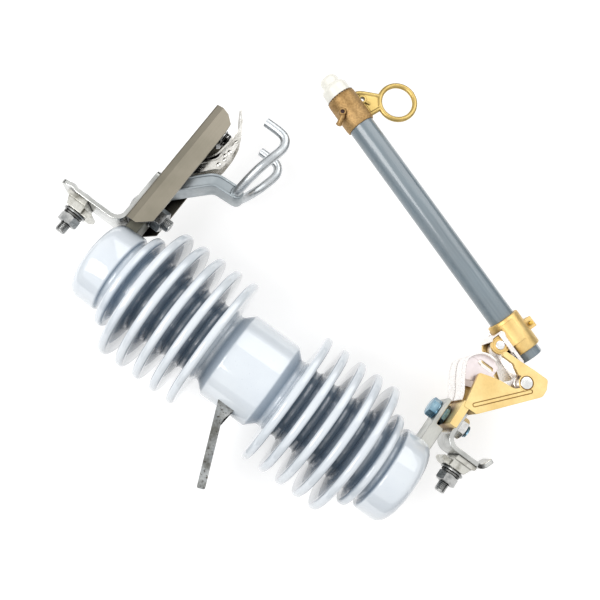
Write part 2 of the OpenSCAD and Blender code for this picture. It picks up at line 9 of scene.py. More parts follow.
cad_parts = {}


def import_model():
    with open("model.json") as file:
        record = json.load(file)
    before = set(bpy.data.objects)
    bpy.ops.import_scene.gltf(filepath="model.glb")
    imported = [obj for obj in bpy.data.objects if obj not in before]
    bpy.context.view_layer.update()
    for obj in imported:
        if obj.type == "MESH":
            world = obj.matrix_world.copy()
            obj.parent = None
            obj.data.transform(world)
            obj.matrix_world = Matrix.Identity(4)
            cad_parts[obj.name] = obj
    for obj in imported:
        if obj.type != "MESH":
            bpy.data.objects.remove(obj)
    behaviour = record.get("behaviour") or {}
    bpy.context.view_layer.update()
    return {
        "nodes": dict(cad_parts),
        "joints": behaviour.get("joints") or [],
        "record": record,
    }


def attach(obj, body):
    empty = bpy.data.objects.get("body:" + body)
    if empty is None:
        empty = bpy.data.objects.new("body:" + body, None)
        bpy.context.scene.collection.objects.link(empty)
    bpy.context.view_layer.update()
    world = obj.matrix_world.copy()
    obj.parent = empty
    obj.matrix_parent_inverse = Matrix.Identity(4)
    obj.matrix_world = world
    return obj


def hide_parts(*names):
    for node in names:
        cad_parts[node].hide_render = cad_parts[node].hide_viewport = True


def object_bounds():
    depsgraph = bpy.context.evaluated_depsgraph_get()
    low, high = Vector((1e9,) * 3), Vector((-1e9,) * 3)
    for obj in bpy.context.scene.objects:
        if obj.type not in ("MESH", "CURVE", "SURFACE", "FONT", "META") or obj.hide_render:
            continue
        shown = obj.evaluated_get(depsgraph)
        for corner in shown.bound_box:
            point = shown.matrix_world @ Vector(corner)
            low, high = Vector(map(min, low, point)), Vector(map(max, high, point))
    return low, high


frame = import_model()

MM = 0.001
TAU = 2 * math.pi
SHARPEST_MITRE = 0.3

# ---- Frames ----------------------------------------------------------------------
# Lengths are in millimetres in a frame that leans with the piece, and piece() turns
# them into metres in the frame of the whole part.

mounts = {m["name"]: m for m in frame["record"]["mounts"]}
joints = {j["name"]: j for j in frame["joints"]}


class Tilt:
    """A frame turned about Y by angle, with its origin at a point of that turned frame."""

    def __init__(self, angle, origin=(0, 0, 0)):
        self.turn = Matrix.Rotation(angle, 4, "Y")
        self.origin = Vector(origin)
        self.matrix = self.turn @ Matrix.Translation(self.origin) @ Matrix.Scale(MM, 4)

    def local(self, point):
        return (self.turn.inverted() @ Vector(point) - self.origin) / MM

    def box(self, node):
        points = [self.local(v.co) for v in frame["nodes"][node].data.vertices]
        low = Vector([min(p[i] for p in points) for i in range(3)])
        high = Vector([max(p[i] for p in points) for i in range(3)])
        return low, high

    def centre(self, node):
        low, high = self.box(node)
        return (low + high) / 2


face = mounts["upper_terminal"]["axis"]
bore = mounts["link_bore"]["axis"]
LEAN = math.atan2(face[2], -face[0])
HOLDER_LEAN = math.atan2(-bore[0], -bore[2])

upright = Tilt(0)
middle = Tilt(LEAN).centre("insulator") * MM
body = Tilt(LEAN, (middle.x, 0, middle.z))
axis_x = Tilt(HOLDER_LEAN).centre("fuse_tube").x * MM
pivot = Tilt(HOLDER_LEAN).local(joints["holder_pivot"]["pos_m"]) * MM
holder = Tilt(HOLDER_LEAN, (axis_x, 0, pivot.z))

# ---- Outlines and solids ---------------------------------------------------------


def arc(corner, before, after, radius, steps):
    """Points that round a corner, from the side of before to the side of after."""
    a, b = (before - corner), (after - corner)
    turn = a.angle(b)
    if radius <= 0 or turn > math.radians(178):
        return [corner]
    back = min(radius / math.tan(turn / 2), a.length * 0.49, b.length * 0.49)
    radius = back * math.tan(turn / 2)
    centre = corner + (a.normalized() + b.normalized()).normalized() * (radius / math.sin(turn / 2))
    start = corner + a.normalized() * back - centre
    end = corner + b.normalized() * back - centre
    sweep = start.angle_signed(end)
    found = []
    for i in range(steps + 1):
        t = -sweep * i / steps
        found.append(centre + Vector((start.x * math.cos(t) - start.y * math.sin(t),
            start.x * math.sin(t) + start.y * math.cos(t))))
    return found


def rounded(corners, steps=4, closed=True):
    """An outline from (x, z, radius) corners, each rounded by its own radius."""
    points = [Vector(c[:2]) for c in corners]
    count = len(points)
    outline = []
    for i, c in enumerate(corners):
        radius = c[2] if len(c) > 2 else 0
        inside = closed or 0 < i < count - 1
        if inside and radius > 0:
            outline += arc(points[i], points[i - 1], points[(i + 1) % count], radius, steps)
        else:
            outline.append(points[i])
    return outline


def on_ring(r, z, a):
    """The point at height z, distance r from Z and angle a."""
    return (r * math.cos(a), r * math.sin(a), z)


def skinned(rings, closed=False):
    """A mesh over rings of points; closed joins the last to the first, and if not, both ends are capped."""
    bm = bmesh.new()
    rings = [[bm.verts.new(p) for p in ring] for ring in rings]
    count = len(rings[0])
    for a, b in zip(rings, rings[1:] + (rings[:1] if closed else [])):
        for k in range(count):
            j = (k + 1) % count
            bm.faces.new([a[k], a[j], b[j], b[k]])
    if not closed:
        bm.faces.new(rings[0][::-1])
        bm.faces.new(rings[-1])
    return bm


def lathe(profile, sides=64, axis="Z", at=(0, 0, 0), closed=False):
    """A mesh turned from (r, z) points; closed joins the last point to the first."""
    bm = bmesh.new()
    rings = []
    for r, z in [(p[0], p[1]) for p in profile]:
        if r < 1e-6:
            rings.append([bm.verts.new((0, 0, z))])
            continue
        rings.append([bm.verts.new(on_ring(r, z, TAU * k / sides)) for k in range(sides)])
    pairs = list(zip(rings, rings[1:] + ([rings[0]] if closed else [])))
    for low, high in pairs[:None if closed else len(rings) - 1]:
        for k in range(sides):
            j = (k + 1) % sides
            corners = [low[k % len(low)], low[j % len(low)], high[j % len(high)], high[k % len(high)]]
            unique = list(dict.fromkeys(corners))
            if len(unique) > 2:
                bm.faces.new(unique)
    turns = {"Z": Matrix.Identity(4), "X": Matrix.Rotation(math.pi / 2, 4, "Y"),
        "Y": Matrix.Rotation(-math.pi / 2, 4, "X")}
    bm.transform(Matrix.Translation(at) @ turns[axis])
    return bm


def turned(corners, steps, sides, axis="Z", at=(0, 0, 0), closed=True):
    """A solid turned from (r, z, radius) corners."""
    return lathe(rounded(corners, steps, closed), sides, axis, at, closed)


def prism(outline, width, y=0):
    """An outline in the X-Z plane made width thick about the plane at y."""
    bm = bmesh.new()
    near = [bm.verts.new((p[0], y - width / 2, p[1])) for p in outline]
    far = [bm.verts.new((p[0], y + width / 2, p[1])) for p in outline]
    count = len(outline)
    bm.faces.new(near)
    bm.faces.new(far[::-1])
    for i in range(count):
        j = (i + 1) % count
        bm.faces.new([near[j], near[i], far[i], far[j]])
    return bm


def block(low, high):
    return prism([(low[0], low[2]), (high[0], low[2]), (high[0], high[2]), (low[0], high[2])],
        high[1] - low[1], (low[1] + high[1]) / 2)


def ribbon(path, thickness, width, y=0, taper=None):
    """A bent strip along an X-Z path; taper(t) scales its width from its start to its end."""
    path = [Vector(p[:2]) for p in path]
    last = len(path) - 1
    rings = []
    for i, p in enumerate(path):
        before = (p - path[i - 1]).normalized() if i else (path[1] - p).normalized()
        after = (path[i + 1] - p).normalized() if i < last else before
        along = (before + after).normalized()
        side = Vector((-along.y, along.x)) / max(along.dot(before), SHARPEST_MITRE)
        half = width / 2 * (taper(i / last) if taper else 1)
        up, down = p + side * thickness / 2, p - side * thickness / 2
        rings.append([(up.x, y - half, up.y), (up.x, y + half, up.y), (down.x, y + half, down.y),
            (down.x, y - half, down.y)])
    return skinned(rings)


def tube_along(path, radius, sides=24):
    """A round rod along 3-D points; radius may be a function of the share of its length."""
    path = [Vector(p) for p in path]
    last = len(path) - 1
    heading = (path[1] - path[0]).normalized()
    side = heading.orthogonal().normalized()
    rings = []
    for i, p in enumerate(path):
        ahead = (path[min(i + 1, last)] - path[max(i - 1, 0)]).normalized()
        side = (heading.rotation_difference(ahead) @ side)
        side = (side - ahead * side.dot(ahead)).normalized()
        heading = ahead
        up = ahead.cross(side)
        r = radius(i / last) if callable(radius) else radius
        rings.append([p + r * (math.cos(TAU * k / sides) * side + math.sin(TAU * k / sides) * up)
            for k in range(sides)])
    return skinned(rings)


def curve(points, steps=8):
    """A smooth path through points, in two or three dimensions."""
    points = [Vector(p) for p in points]
    found = []
    for i in range(len(points) - 1):
        a, b = points[max(i - 1, 0)], points[i]
        c, d = points[i + 1], points[min(i + 2, len(points) - 1)]
        for s in range(steps):
            t = s / steps
            found.append(0.5 * ((2 * b) + (c - a) * t + (2 * a - 5 * b + 4 * c - d) * t * t
                + (3 * b - a - 3 * c + d) * t ** 3))
    return found + [points[-1]]


def polar(levels, sides):
    """A mesh of rings round Z: each level is a function of the angle giving (r, z)."""
    angles = [TAU * k / sides for k in range(sides)]
    return skinned([[on_ring(*level(a), a) for a in angles] for level in levels], closed=True)


def hex_nut(across, height, hole, z=0.0):
    """A chamfered hexagon nut round Z, standing on z."""
    flat = across / 2
    shoulder = flat * 0.96
    slope = math.tan(math.radians(30))
    lead = 0.6

    def hexagon(a):
        turn = (a % (TAU / 6)) - TAU / 12
        return flat / math.cos(turn)

    def cut(a):
        return max(hexagon(a) - shoulder, 0) * slope

    levels = [lambda a: (hole, z + lead), lambda a: (hole + lead, z), lambda a: (shoulder, z),
        lambda a: (hexagon(a), z + cut(a)), lambda a: (hexagon(a), z + height - cut(a)),
        lambda a: (shoulder, z + height), lambda a: (hole + lead, z + height),
        lambda a: (hole, z + height - lead)]
    return polar(levels, 72)


def screw_thread(radius, low, high, pitch=1.5, depth=0.75, sides=28):
    """A threaded rod round Z from low to high, with a chamfered upper end."""
    chamfer, rings_per_turn = 1.2, 6
    count = max(int((high - low) / pitch * rings_per_turn), 2)
    rings = []
    for i in range(count + 1):
        z = low + (high - low) * i / count
        cut = max(0, chamfer - (high - z)) * 0.7
        phases = [(z / pitch - k / sides) % 1 for k in range(sides)]
        rings.append([on_ring(radius - depth * abs(2 * phase - 1) - cut, z, TAU * k / sides) for k,
            phase in enumerate(phases)])
    return skinned(rings)


def moved(bm, offset=(0, 0, 0), turn=0.0, axis="Y"):
    bm.transform(Matrix.Translation(offset) @ Matrix.Rotation(math.radians(turn), 4, axis))
    return bm


def joined(*parts):
    """One mesh from several, each kept as its own closed shell."""
    whole = parts[0]
    for part in parts[1:]:
        mesh = bpy.data.meshes.new("part")
        part.to_mesh(mesh)
        part.free()
        whole.from_mesh(mesh)
        bpy.data.meshes.remove(mesh)
    return whole


def piece(name, bm, tilt, rides, slot, material, nodes=(), bevel=0.0, segments=2, sharp=32):
    """Makes the object, places it, rounds its edges and ties it to the frame."""
    bmesh.ops.recalc_face_normals(bm, faces=bm.faces)
    bm.transform(tilt.matrix)
    mesh = bpy.data.meshes.new(name)
    bm.to_mesh(mesh)
    bm.free()
    mesh.shade_smooth()
    obj = bpy.data.objects.new(name, mesh)
    bpy.context.scene.collection.objects.link(obj)
    mesh.materials.append(material)
    if bevel > 0:
        edges = obj.modifiers.new("edges", "BEVEL")
        edges.width = bevel * MM
        edges.segments = segments
        edges.limit_method = "ANGLE"
        edges.angle_limit = math.radians(sharp)
        edges.harden_normals = True
        edges.use_clamp_overlap = True
    else:
        mesh.set_sharp_from_angle(angle=math.radians(sharp))
    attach(obj, rides)
    if nodes:
        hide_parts(*nodes)
    return obj


def fixed(name, bm, *look, **options):
    """A piece drawn in the insulator's frame that rides the root body."""
    return piece(name, bm, body, "root", *look, **options)


def held(name, bm, *look, **options):
    """A piece drawn in the fuse holder's frame that rides the holder body."""
    return piece(name, bm, holder, "holder", *look, **options)


def shifted(points, x, z):
    """The same X-Z points or (x, z, radius) corners, moved."""
    return [(x + p[0], z + p[1], *p[2:]) for p in points]


def half_round(radius, last=-90):
    """Points of an arc from straight up clockwise to the angle last, in steps of 15 degrees."""
    angles = [math.radians(a) for a in range(90, last - 1, -15)]
    return [(radius * math.cos(a), radius * math.sin(a)) for a in angles]


def even(path, step):
    """The path cut into equal lengths of about step."""
    path = [Vector(p) for p in path]
    marks = [0.0]
    for a, b in zip(path, path[1:]):
        marks.append(marks[-1] + (b - a).length)
    count = max(int(marks[-1] / step), 2)
    found = []
    k = 0
    for i in range(count + 1):
        at = marks[-1] * i / count
        while k < len(path) - 2 and marks[k + 1] < at:
            k += 1
        share = (at - marks[k]) / max(marks[k + 1] - marks[k], 1e-9)
        found.append(path[k].lerp(path[k + 1], min(max(share, 0), 1)))
    return found


def length_of(path):
    return sum((Vector(b) - Vector(a)).length for a, b in zip(path, path[1:]))


def soft_ends(length, width, radius):
    """The share of its width that a strip keeps where its end corners are rounded."""
    def taper(t):
        near = min(t, 1 - t) * length
        if near >= radius:
            return 1
        return 1 - 2 * (radius - math.sqrt(radius ** 2 - (radius - near) ** 2)) / width
    return taper


def shell(inner, outer, start, end, low, high, steps=16):
    """A curved slab round Z between two radii, two angles in degrees and two heights."""
    section = ((inner, low), (outer, low), (outer, high), (inner, high))
    angles = [math.radians(start + (end - start) * i / steps) for i in range(steps + 1)]
    return skinned([[on_ring(r, z, a) for r, z in section] for a in angles])


def helix(radius, wire, low, high, turns, start=0.0, sides=12, per_turn=28):
    """A round wire wound about Z, with its ends lying flat."""
    count = int(turns * per_turn)
    path = []
    for i in range(count + 1):
        t = i / count
        lift = min(max((t * turns - 0.5) / (turns - 1), 0), 1)
        a = start + TAU * turns * t
        path.append(on_ring(radius, low + (high - low) * lift, a))
    return tube_along(path, wire / 2, sides)


def dome(radius, height, flat=0.0, at=0.0, sides=48):
    """A round button of this radius and height on a short straight rim, closed below."""
    ball = (radius ** 2 + (height - flat) ** 2) / (2 * (height - flat))
    widest = math.asin(min(radius / ball, 1))
    crown = [(ball * math.sin(widest * i / 8), at + height - ball + ball * math.cos(widest * i / 8))
        for i in range(9)]
    return lathe(crown + [(radius, at), (0, at)], sides)


def ring_of(radius, section, z=0.0, sides=48):
    """A round ring of round section about Z."""
    path = [(radius + section * math.cos(TAU * k / 16), z + section * math.sin(TAU * k / 16))
        for k in range(16)]
    return lathe(path, sides, closed=True)


def washer(outer, hole, low, high, edge=0.4, sides=48):
    return turned([(hole, low, edge), (outer, low, edge), (outer, high, edge), (hole, high, edge)], 2,
        sides)


# ---- Materials -------------------------------------------------------------------


class Nodes:
    """A small helper that adds shader nodes and links them as they are named."""

    def __init__(self, name, library="materials", shader="Principled BSDF"):
        self.owner = getattr(bpy.data, library).new(name)
        self.owner.use_nodes = True
        self.tree = self.owner.node_tree
        self.shader = self.tree.nodes[shader]
        self.coords = self.tree.nodes.new("ShaderNodeTexCoord").outputs["Object"]

    def add(self, kind, inputs=None, **settings):
        node = self.tree.nodes.new("ShaderNode" + kind)
        for key, value in settings.items():
            setattr(node, key, value)
        for key, value in (inputs or {}).items():
            self.put(node.inputs[key], value)
        return node

    def put(self, socket, value):
        if isinstance(value, bpy.types.NodeSocket):
            self.tree.links.new(value, socket)
        else:
            socket.default_value = value

    def stretched(self, scale, turn=0.0):
        """Object coordinates leaned by turn about Y and scaled along each axis."""
        turned = self.add("Mapping", {"Vector": self.coords, "Rotation": (0, -turn, 0)},
            vector_type="POINT")
        return self.add("Mapping", {"Vector": turned.outputs[0], "Scale": scale}).outputs[0]

    def noise(self, scale, detail=4.0, roughness=0.55, vector=None):
        inputs = {"Vector": vector or self.coords, "Scale": scale, "Detail": detail, "Roughness": roughness,
            "Distortion": 0.0}
        return self.add("TexNoise", inputs).outputs["Fac"]

    def ramp(self, value, low, high, first=0.0, last=1.0):
        """value from low to high, mapped to the range from first to last."""
        inputs = {"Value": value, "From Min": low, "From Max": high, "To Min": first, "To Max": last}
        return self.add("MapRange", inputs, clamp=True).outputs[0]

    def mix(self, share, a, b):
        """Colour a where share is 0 and b where it is 1."""
        return self.add("Mix", {"Factor": share, 6: a, 7: b}, data_type="RGBA").outputs[2]

    def maths(self, operation, a, b):
        return self.add("Math", {0: a, 1: b}, operation=operation).outputs[0]

    def bump(self, height, strength, distance):
        return self.add("Bump", {"Height": height, "Strength": strength, "Distance": distance}).outputs[0]

    def painted_shade_mask(self, distance, low=0.3, high=0.8):
        """A mask for painted shade: 0 deep in a recess of about this size in metres, 1 on open faces."""
        node = self.add("AmbientOcclusion", {"Distance": distance}, samples=8)
        return self.ramp(node.outputs["AO"], low, high)

    def sight(self):
        """1 on the rays that the camera sees by, straight, mirrored or through; and every kind of ray."""
        rays = self.add("LightPath").outputs
        seen = self.maths("MAXIMUM", rays["Is Camera Ray"], rays["Is Glossy Ray"])
        return self.maths("MAXIMUM", seen, rays["Is Transmission Ray"]), rays

    def finish(self, **sockets):
        for key, value in sockets.items():
            self.put(self.shader.inputs[key.replace("_", " ")], value)
        return self.owner


def rgb(r, g, b):
    """A display colour of 0 to 255 in each channel, as the linear colour of a shader."""
    def linear(v):
        v /= 255
        return v / 12.92 if v <= 0.04045 else ((v + 0.055) / 1.055) ** 2.4
    return (linear(r), linear(g), linear(b), 1.0)


def glazed_porcelain():
    """White glaze with a cold cast, blue-grey painted shade in the depth between the sheds, gently wavy."""
    n = Nodes("porcelain")
    cloud = n.ramp(n.noise(22, 3), 0.35, 0.65)
    speck = n.ramp(n.noise(900, 2), 0.70, 0.76)
    base = n.mix(cloud, rgb(224, 231, 238), rgb(232, 238, 243))
    # Painted shade: blue-grey laid into the grooves between the sheds.
    groove_shade = n.mix(n.painted_shade_mask(0.03, 0.12, 0.8), rgb(104, 124, 144), base)
    colour = n.mix(speck, groove_shade, rgb(190, 200, 210))
    ripple = n.bump(n.noise(55, 2), 0.10, 0.0006)
    return n.finish(Base_Color=colour, Roughness=0.08, Normal=ripple, IOR=1.55, Coat_Weight=0.8,
        Coat_Roughness=0.02)


def metal(name, colour, shade, roughness, spread=0.08, grain=(600, 600, 600), turn=0.0, bump=0.15,
        depth=0.0002, metallic=1.0, patch=35.0, patch_share=(0.35, 0.65), hollow_shade=None, reach=0.012):
    """A metal with patches of a second shade and a grain that may be drawn along one axis.
    The optional colour for corners and gaps of about reach metres is painted shade."""
    n = Nodes(name)
    colour, shade = rgb(*colour), rgb(*shade)
    fine = n.noise(1.0, 4, vector=n.stretched(grain, turn))
    broad = n.ramp(n.noise(patch, 4), *patch_share)
    tint = n.mix(n.maths("MULTIPLY", fine, 0.35), colour, shade)
    face = n.mix(broad, tint, shade)
    # Painted shade: corners and gaps of about reach metres darkened towards that colour.
    if hollow_shade:
        face = n.mix(n.painted_shade_mask(reach), rgb(*hollow_shade), face)
    return n.finish(Base_Color=face, Roughness=n.ramp(fine, 0.3, 0.7, roughness - spread,
        roughness + spread), Metallic=metallic, Normal=n.bump(fine, bump, depth))


def rough_galvanising():
    """Hot-dip zinc with lumps, dull grey patches and dark brownish pits."""
    n = Nodes("rough_galvanised")
    lumps = n.noise(140, 5, 0.6)
    stain = n.ramp(n.noise(45, 5, 0.65), 0.46, 0.62)
    pits = n.ramp(n.noise(420, 3), 0.58, 0.66)
    base = n.mix(n.ramp(lumps, 0.35, 0.65), rgb(176, 178, 177), rgb(130, 134, 136))
    dull = n.mix(stain, base, rgb(108, 108, 103))
    colour = n.mix(pits, dull, rgb(84, 78, 68))
    height = n.maths("SUBTRACT", lumps, n.maths("MULTIPLY", pits, 0.5))
    return n.finish(Base_Color=colour, Roughness=n.ramp(stain, 0, 1, 0.5, 0.75), Metallic=0.45,
        Normal=n.bump(height, 0.9, 0.0009))


def cast_brass(name, colour, shade, hollow_shade, grit=0.3, reach=0.03, speckle=0.06, rough=0.36):
    """Sand-cast brass: fine grit, warm clouds, brown painted shade in its hollows, and reddish pits there.
    """
    n = Nodes(name)
    colour, shade, hollow_shade = rgb(*colour), rgb(*shade), rgb(*hollow_shade)
    grains = n.noise(1500, 3, 0.6)
    clouds = n.ramp(n.noise(34, 4), 0.36, 0.64)
    unshaded = n.painted_shade_mask(reach, 0.25, 0.78)
    pits = n.maths("MULTIPLY", n.ramp(n.noise(330, 2), 0.66, 0.70), n.maths("SUBTRACT", 1.0, unshaded))
    mottle = n.maths("MULTIPLY", n.ramp(n.noise(620, 3, 0.6), 0.42, 0.62), speckle)
    # The fine mottle is real speckle in the darker brown.
    base = n.mix(mottle, n.mix(clouds, colour, shade), hollow_shade)
    # Painted shade: the darker brown laid into hollows of about reach metres.
    shaded_base = n.mix(unshaded, hollow_shade, base)
    dark = n.mix(pits, shaded_base, rgb(92, 34, 28))
    return n.finish(Base_Color=dark, Roughness=n.ramp(grains, 0.3, 0.7, rough, rough + 0.14), Metallic=0.8,
        Normal=n.bump(grains, grit, 0.00025))


def lacquered_tube():
    """Blue-grey glass-fibre tube under a clear lacquer, with faint lengthwise streaks."""
    n = Nodes("tube_grey")
    streak = n.noise(1.0, 4, vector=n.stretched((420, 420, 14), HOLDER_LEAN))
    cloud = n.ramp(n.noise(30, 3), 0.35, 0.65)
    base = n.mix(n.ramp(streak, 0.35, 0.65), rgb(116, 130, 139), rgb(133, 147, 155))
    colour = n.mix(n.maths("MULTIPLY", cloud, 0.5), base, rgb(124, 134, 140))
    return n.finish(Base_Color=colour, Roughness=n.ramp(streak, 0.3, 0.7, 0.26, 0.36), Coat_Weight=0.8,
        Coat_Roughness=0.08, Normal=n.bump(streak, 0.15, 0.0002))


def moulded_ivory():
    """Ivory moulding, nearly white, with faint grey handling marks and painted shade in its recesses."""
    n = Nodes("ivory_cap")
    smudge = n.ramp(n.noise(190, 5, 0.65), 0.54, 0.72)
    scuff = n.ramp(n.noise(700, 3), 0.64, 0.72)
    base = n.mix(n.maths("MULTIPLY", smudge, 0.35), rgb(250, 248, 238), rgb(206, 204, 192))
    worn = n.mix(n.maths("MULTIPLY", scuff, 0.35), base, rgb(170, 168, 160))
    # Painted shade: grey-brown laid into recesses of about 6 mm.
    colour = n.mix(n.painted_shade_mask(0.006, 0.35, 0.75), rgb(150, 146, 134), worn)
    return n.finish(Base_Color=colour, Roughness=n.ramp(smudge, 0, 1, 0.24, 0.42),
        Normal=n.bump(smudge, 0.2, 0.0003))


# The colour given below for corners and gaps of each metal (the third colour of cast_brass) is painted
# shade.
PORCELAIN = glazed_porcelain()
ROUGH_ZINC = rough_galvanising()
INSERT_STEEL = metal("insert_steel", (140, 138, 124), (84, 84, 74), 0.42, grain=(300, 900, 900), turn=LEAN,
    metallic=0.8)
ZINC = metal("galvanised", (190, 196, 199), (150, 158, 162), 0.36, grain=(240, 500, 500), turn=LEAN,
    bump=0.25, depth=0.0003, metallic=0.85, hollow_shade=(92, 98, 102), reach=0.006)
ROD_ZINC = metal("rod_zinc", (218, 221, 223), (182, 187, 190), 0.30, grain=(240, 500, 500), turn=LEAN,
    bump=0.2, depth=0.0003, metallic=0.8)
TINNED = metal("bright_zinc", (216, 217, 214), (174, 175, 172), 0.24, grain=(160, 900, 160), turn=LEAN,
    hollow_shade=(90, 88, 82), reach=0.006)
FASTENER = metal("fastener_zinc", (200, 200, 198), (142, 144, 144), 0.32, patch=220.0, hollow_shade=(40, 40, 38),
    reach=0.004)
BRIGHT_ZINC = metal("bright_fastener", (238, 238, 236), (206, 206, 204), 0.26, patch=220.0,
    hollow_shade=(80, 78, 74), reach=0.004)
HOOD_STEEL = metal("hood_steel", (156, 149, 135), (134, 129, 115), 0.40, spread=0.05, grain=(26, 700, 700),
    turn=LEAN, bump=0.08, depth=0.0001, patch=18.0, hollow_shade=(20, 18, 16), reach=0.03)
SILVERED = metal("silvered_copper", (224, 222, 217), (178, 175, 168), 0.20, patch=120.0,
    patch_share=(0.45, 0.75), hollow_shade=(70, 66, 60), reach=0.008)
BRIGHT_SILVER = metal("bright_silver", (250, 247, 244), (234, 228, 224), 0.28, patch=90.0,
    patch_share=(0.5, 0.8), hollow_shade=(196, 184, 176), reach=0.006, metallic=0.8, bump=0.04)
CHEEK = metal("cheek_silver", (238, 228, 228), (222, 212, 212), 0.40, patch=70.0, bump=0.06)
SPRING = metal("spring_steel", (104, 104, 102), (48, 48, 48), 0.30, patch=160.0, hollow_shade=(16, 16, 16),
    reach=0.004)
BLUE_ZINC = metal("blue_zinc", (176, 208, 222), (104, 142, 164), 0.24, patch=170.0, hollow_shade=(28, 50, 66),
    reach=0.005)
BRASS = cast_brass("cast_brass", (244, 220, 156), (232, 200, 134), (138, 102, 60))
DARK_BRASS = cast_brass("line_brass", (150, 112, 52), (128, 92, 40), (90, 60, 28))
BRONZE = cast_brass("ferrule_brass", (192, 158, 108), (160, 126, 78), (96, 68, 34), grit=0.7, reach=0.012,
    speckle=0.35, rough=0.44)
RING_BRASS = cast_brass("ring_brass", (206, 180, 112), (176, 148, 84), (92, 78, 38), reach=0.010,
    rough=0.30)
PALE_BRASS = cast_brass("pale_ferrule_brass", (238, 208, 142), (220, 184, 114), (116, 82, 42), reach=0.012)
STRAP = metal("strap_stainless", (248, 242, 238), (230, 224, 220), 0.26, patch=150.0, bump=0.04)
PIN_STEEL = metal("pin_stainless", (250, 250, 248), (226, 226, 224), 0.22, patch=150.0, bump=0.05)
KEEPER = metal("clamp_keeper", (222, 221, 214), (146, 144, 134), 0.30, patch=110.0, patch_share=(0.45, 0.7),
    hollow_shade=(40, 38, 32), reach=0.005)
DARK_ZINC = metal("dark_zinc", (150, 150, 148), (90, 90, 88), 0.30, patch=220.0, hollow_shade=(20, 20, 20),
    reach=0.004)
LOW_INSERT = metal("lower_insert_steel", (210, 210, 204), (136, 140, 138), 0.36, grain=(300, 900, 900),
    turn=LEAN)
# Painted shade: the dark colour of the bore and notches on the upper ferrule.
HOLE_SHADE = metal("painted_hole_shade", (58, 26, 18), (34, 14, 10), 0.6, metallic=0.2, patch=400.0)
SCREW_BRASS = metal("screw_brass", (236, 204, 112), (190, 152, 70), 0.22, patch=220.0)
TUBE = lacquered_tube()
IVORY = moulded_ivory()

# ---- Porcelain and mounting bar --------------------------------------------------

CORE_R = 34.0
SHED_PITCH = 17.9
SHED_COUNT = 5
SHED_ROOT = 5.5
SHED_RIM = 3.7
SMALL_SHED_R = 46.5
CAP_LENGTH = 28.0
CAP_NECK = 10.7
CAP_ROUND = 10.0
BARREL_R = 42.0
BARREL_HALF = 23.0
BARREL_FOOT = 8.0


def shed_corners(z, radius):
    """The corners of one shed, from its upper root round its rim to its lower root."""
    return [(CORE_R, z + SHED_ROOT, 3.2), (radius - 6, z + SHED_RIM, 20), (radius, z + SHED_RIM, 3.6),
        (radius, z - SHED_RIM, 3.6), (radius - 6, z - SHED_RIM, 20), (CORE_R, z - SHED_ROOT, 3.2)]


def porcelain():
    high = body.box("insulator")[1]
    half, shed_r = high.z, high.y
    first = half - CAP_LENGTH - CAP_NECK - SHED_COUNT * SHED_PITCH
    top_r, low_r = 38.0, 41.0
    rows = [first + i * SHED_PITCH for i in range(SHED_COUNT)]
    corners = [(0, half), (top_r, half, CAP_ROUND), (top_r, half - CAP_LENGTH, 2.5),
        (CORE_R, half - CAP_LENGTH - 0.8, 2)]
    corners += shed_corners(rows[-1] + SHED_PITCH, SMALL_SHED_R)
    for z in rows[::-1]:
        corners += shed_corners(z, shed_r)
    for side in (1, -1):
        barrel = [(CORE_R, side * (BARREL_HALF + BARREL_FOOT), 4), (BARREL_R, side * BARREL_HALF, 3)]
        corners += barrel if side > 0 else barrel[::-1]
    for z in rows:
        corners += shed_corners(-z, shed_r)
    corners += shed_corners(-rows[-1] - SHED_PITCH, SMALL_SHED_R)
    corners += [(CORE_R, CAP_LENGTH + 0.8 - half, 2), (low_r, CAP_LENGTH - half, 2.5),
        (low_r, -half, CAP_ROUND), (0, -half)]
    fixed("porcelain_body", turned(corners, 6, 160, closed=False), "porcelain", PORCELAIN, ["insulator"],
        sharp=60)


def mounting_bar():
    low, high = upright.box("mounting_bar")
    thick = high.z
    root_x = high.x - 22
    outline = rounded([(low.x, 0, 1.5), (root_x - 3, 0, 12), (root_x + 9, low.z, 5), (high.x, low.z),
        (high.x, thick), (low.x, thick, 1.5)], 4)
    bm = prism(outline, high.y - low.y)
    bmesh.ops.triangulate(bm, faces=bm.faces)
    bmesh.ops.subdivide_edges(bm, edges=bm.edges, cuts=2, use_grid_fill=True)
    piece("mounting_bar_forging", bm, upright, "root", "rough_galvanised", ROUGH_ZINC, ["mounting_bar"],
        bevel=1.6, segments=3)


porcelain()
mounting_bar()

# ---- Upper end: insert, terminal bar and bolts ------------------------------------

TERMINAL_T = 4.2
BOLT_R = 6.0
BOLT_HOLE_R = BOLT_R - 0.6
STUD_R = 5.0
NUT_EDGE = 0.15


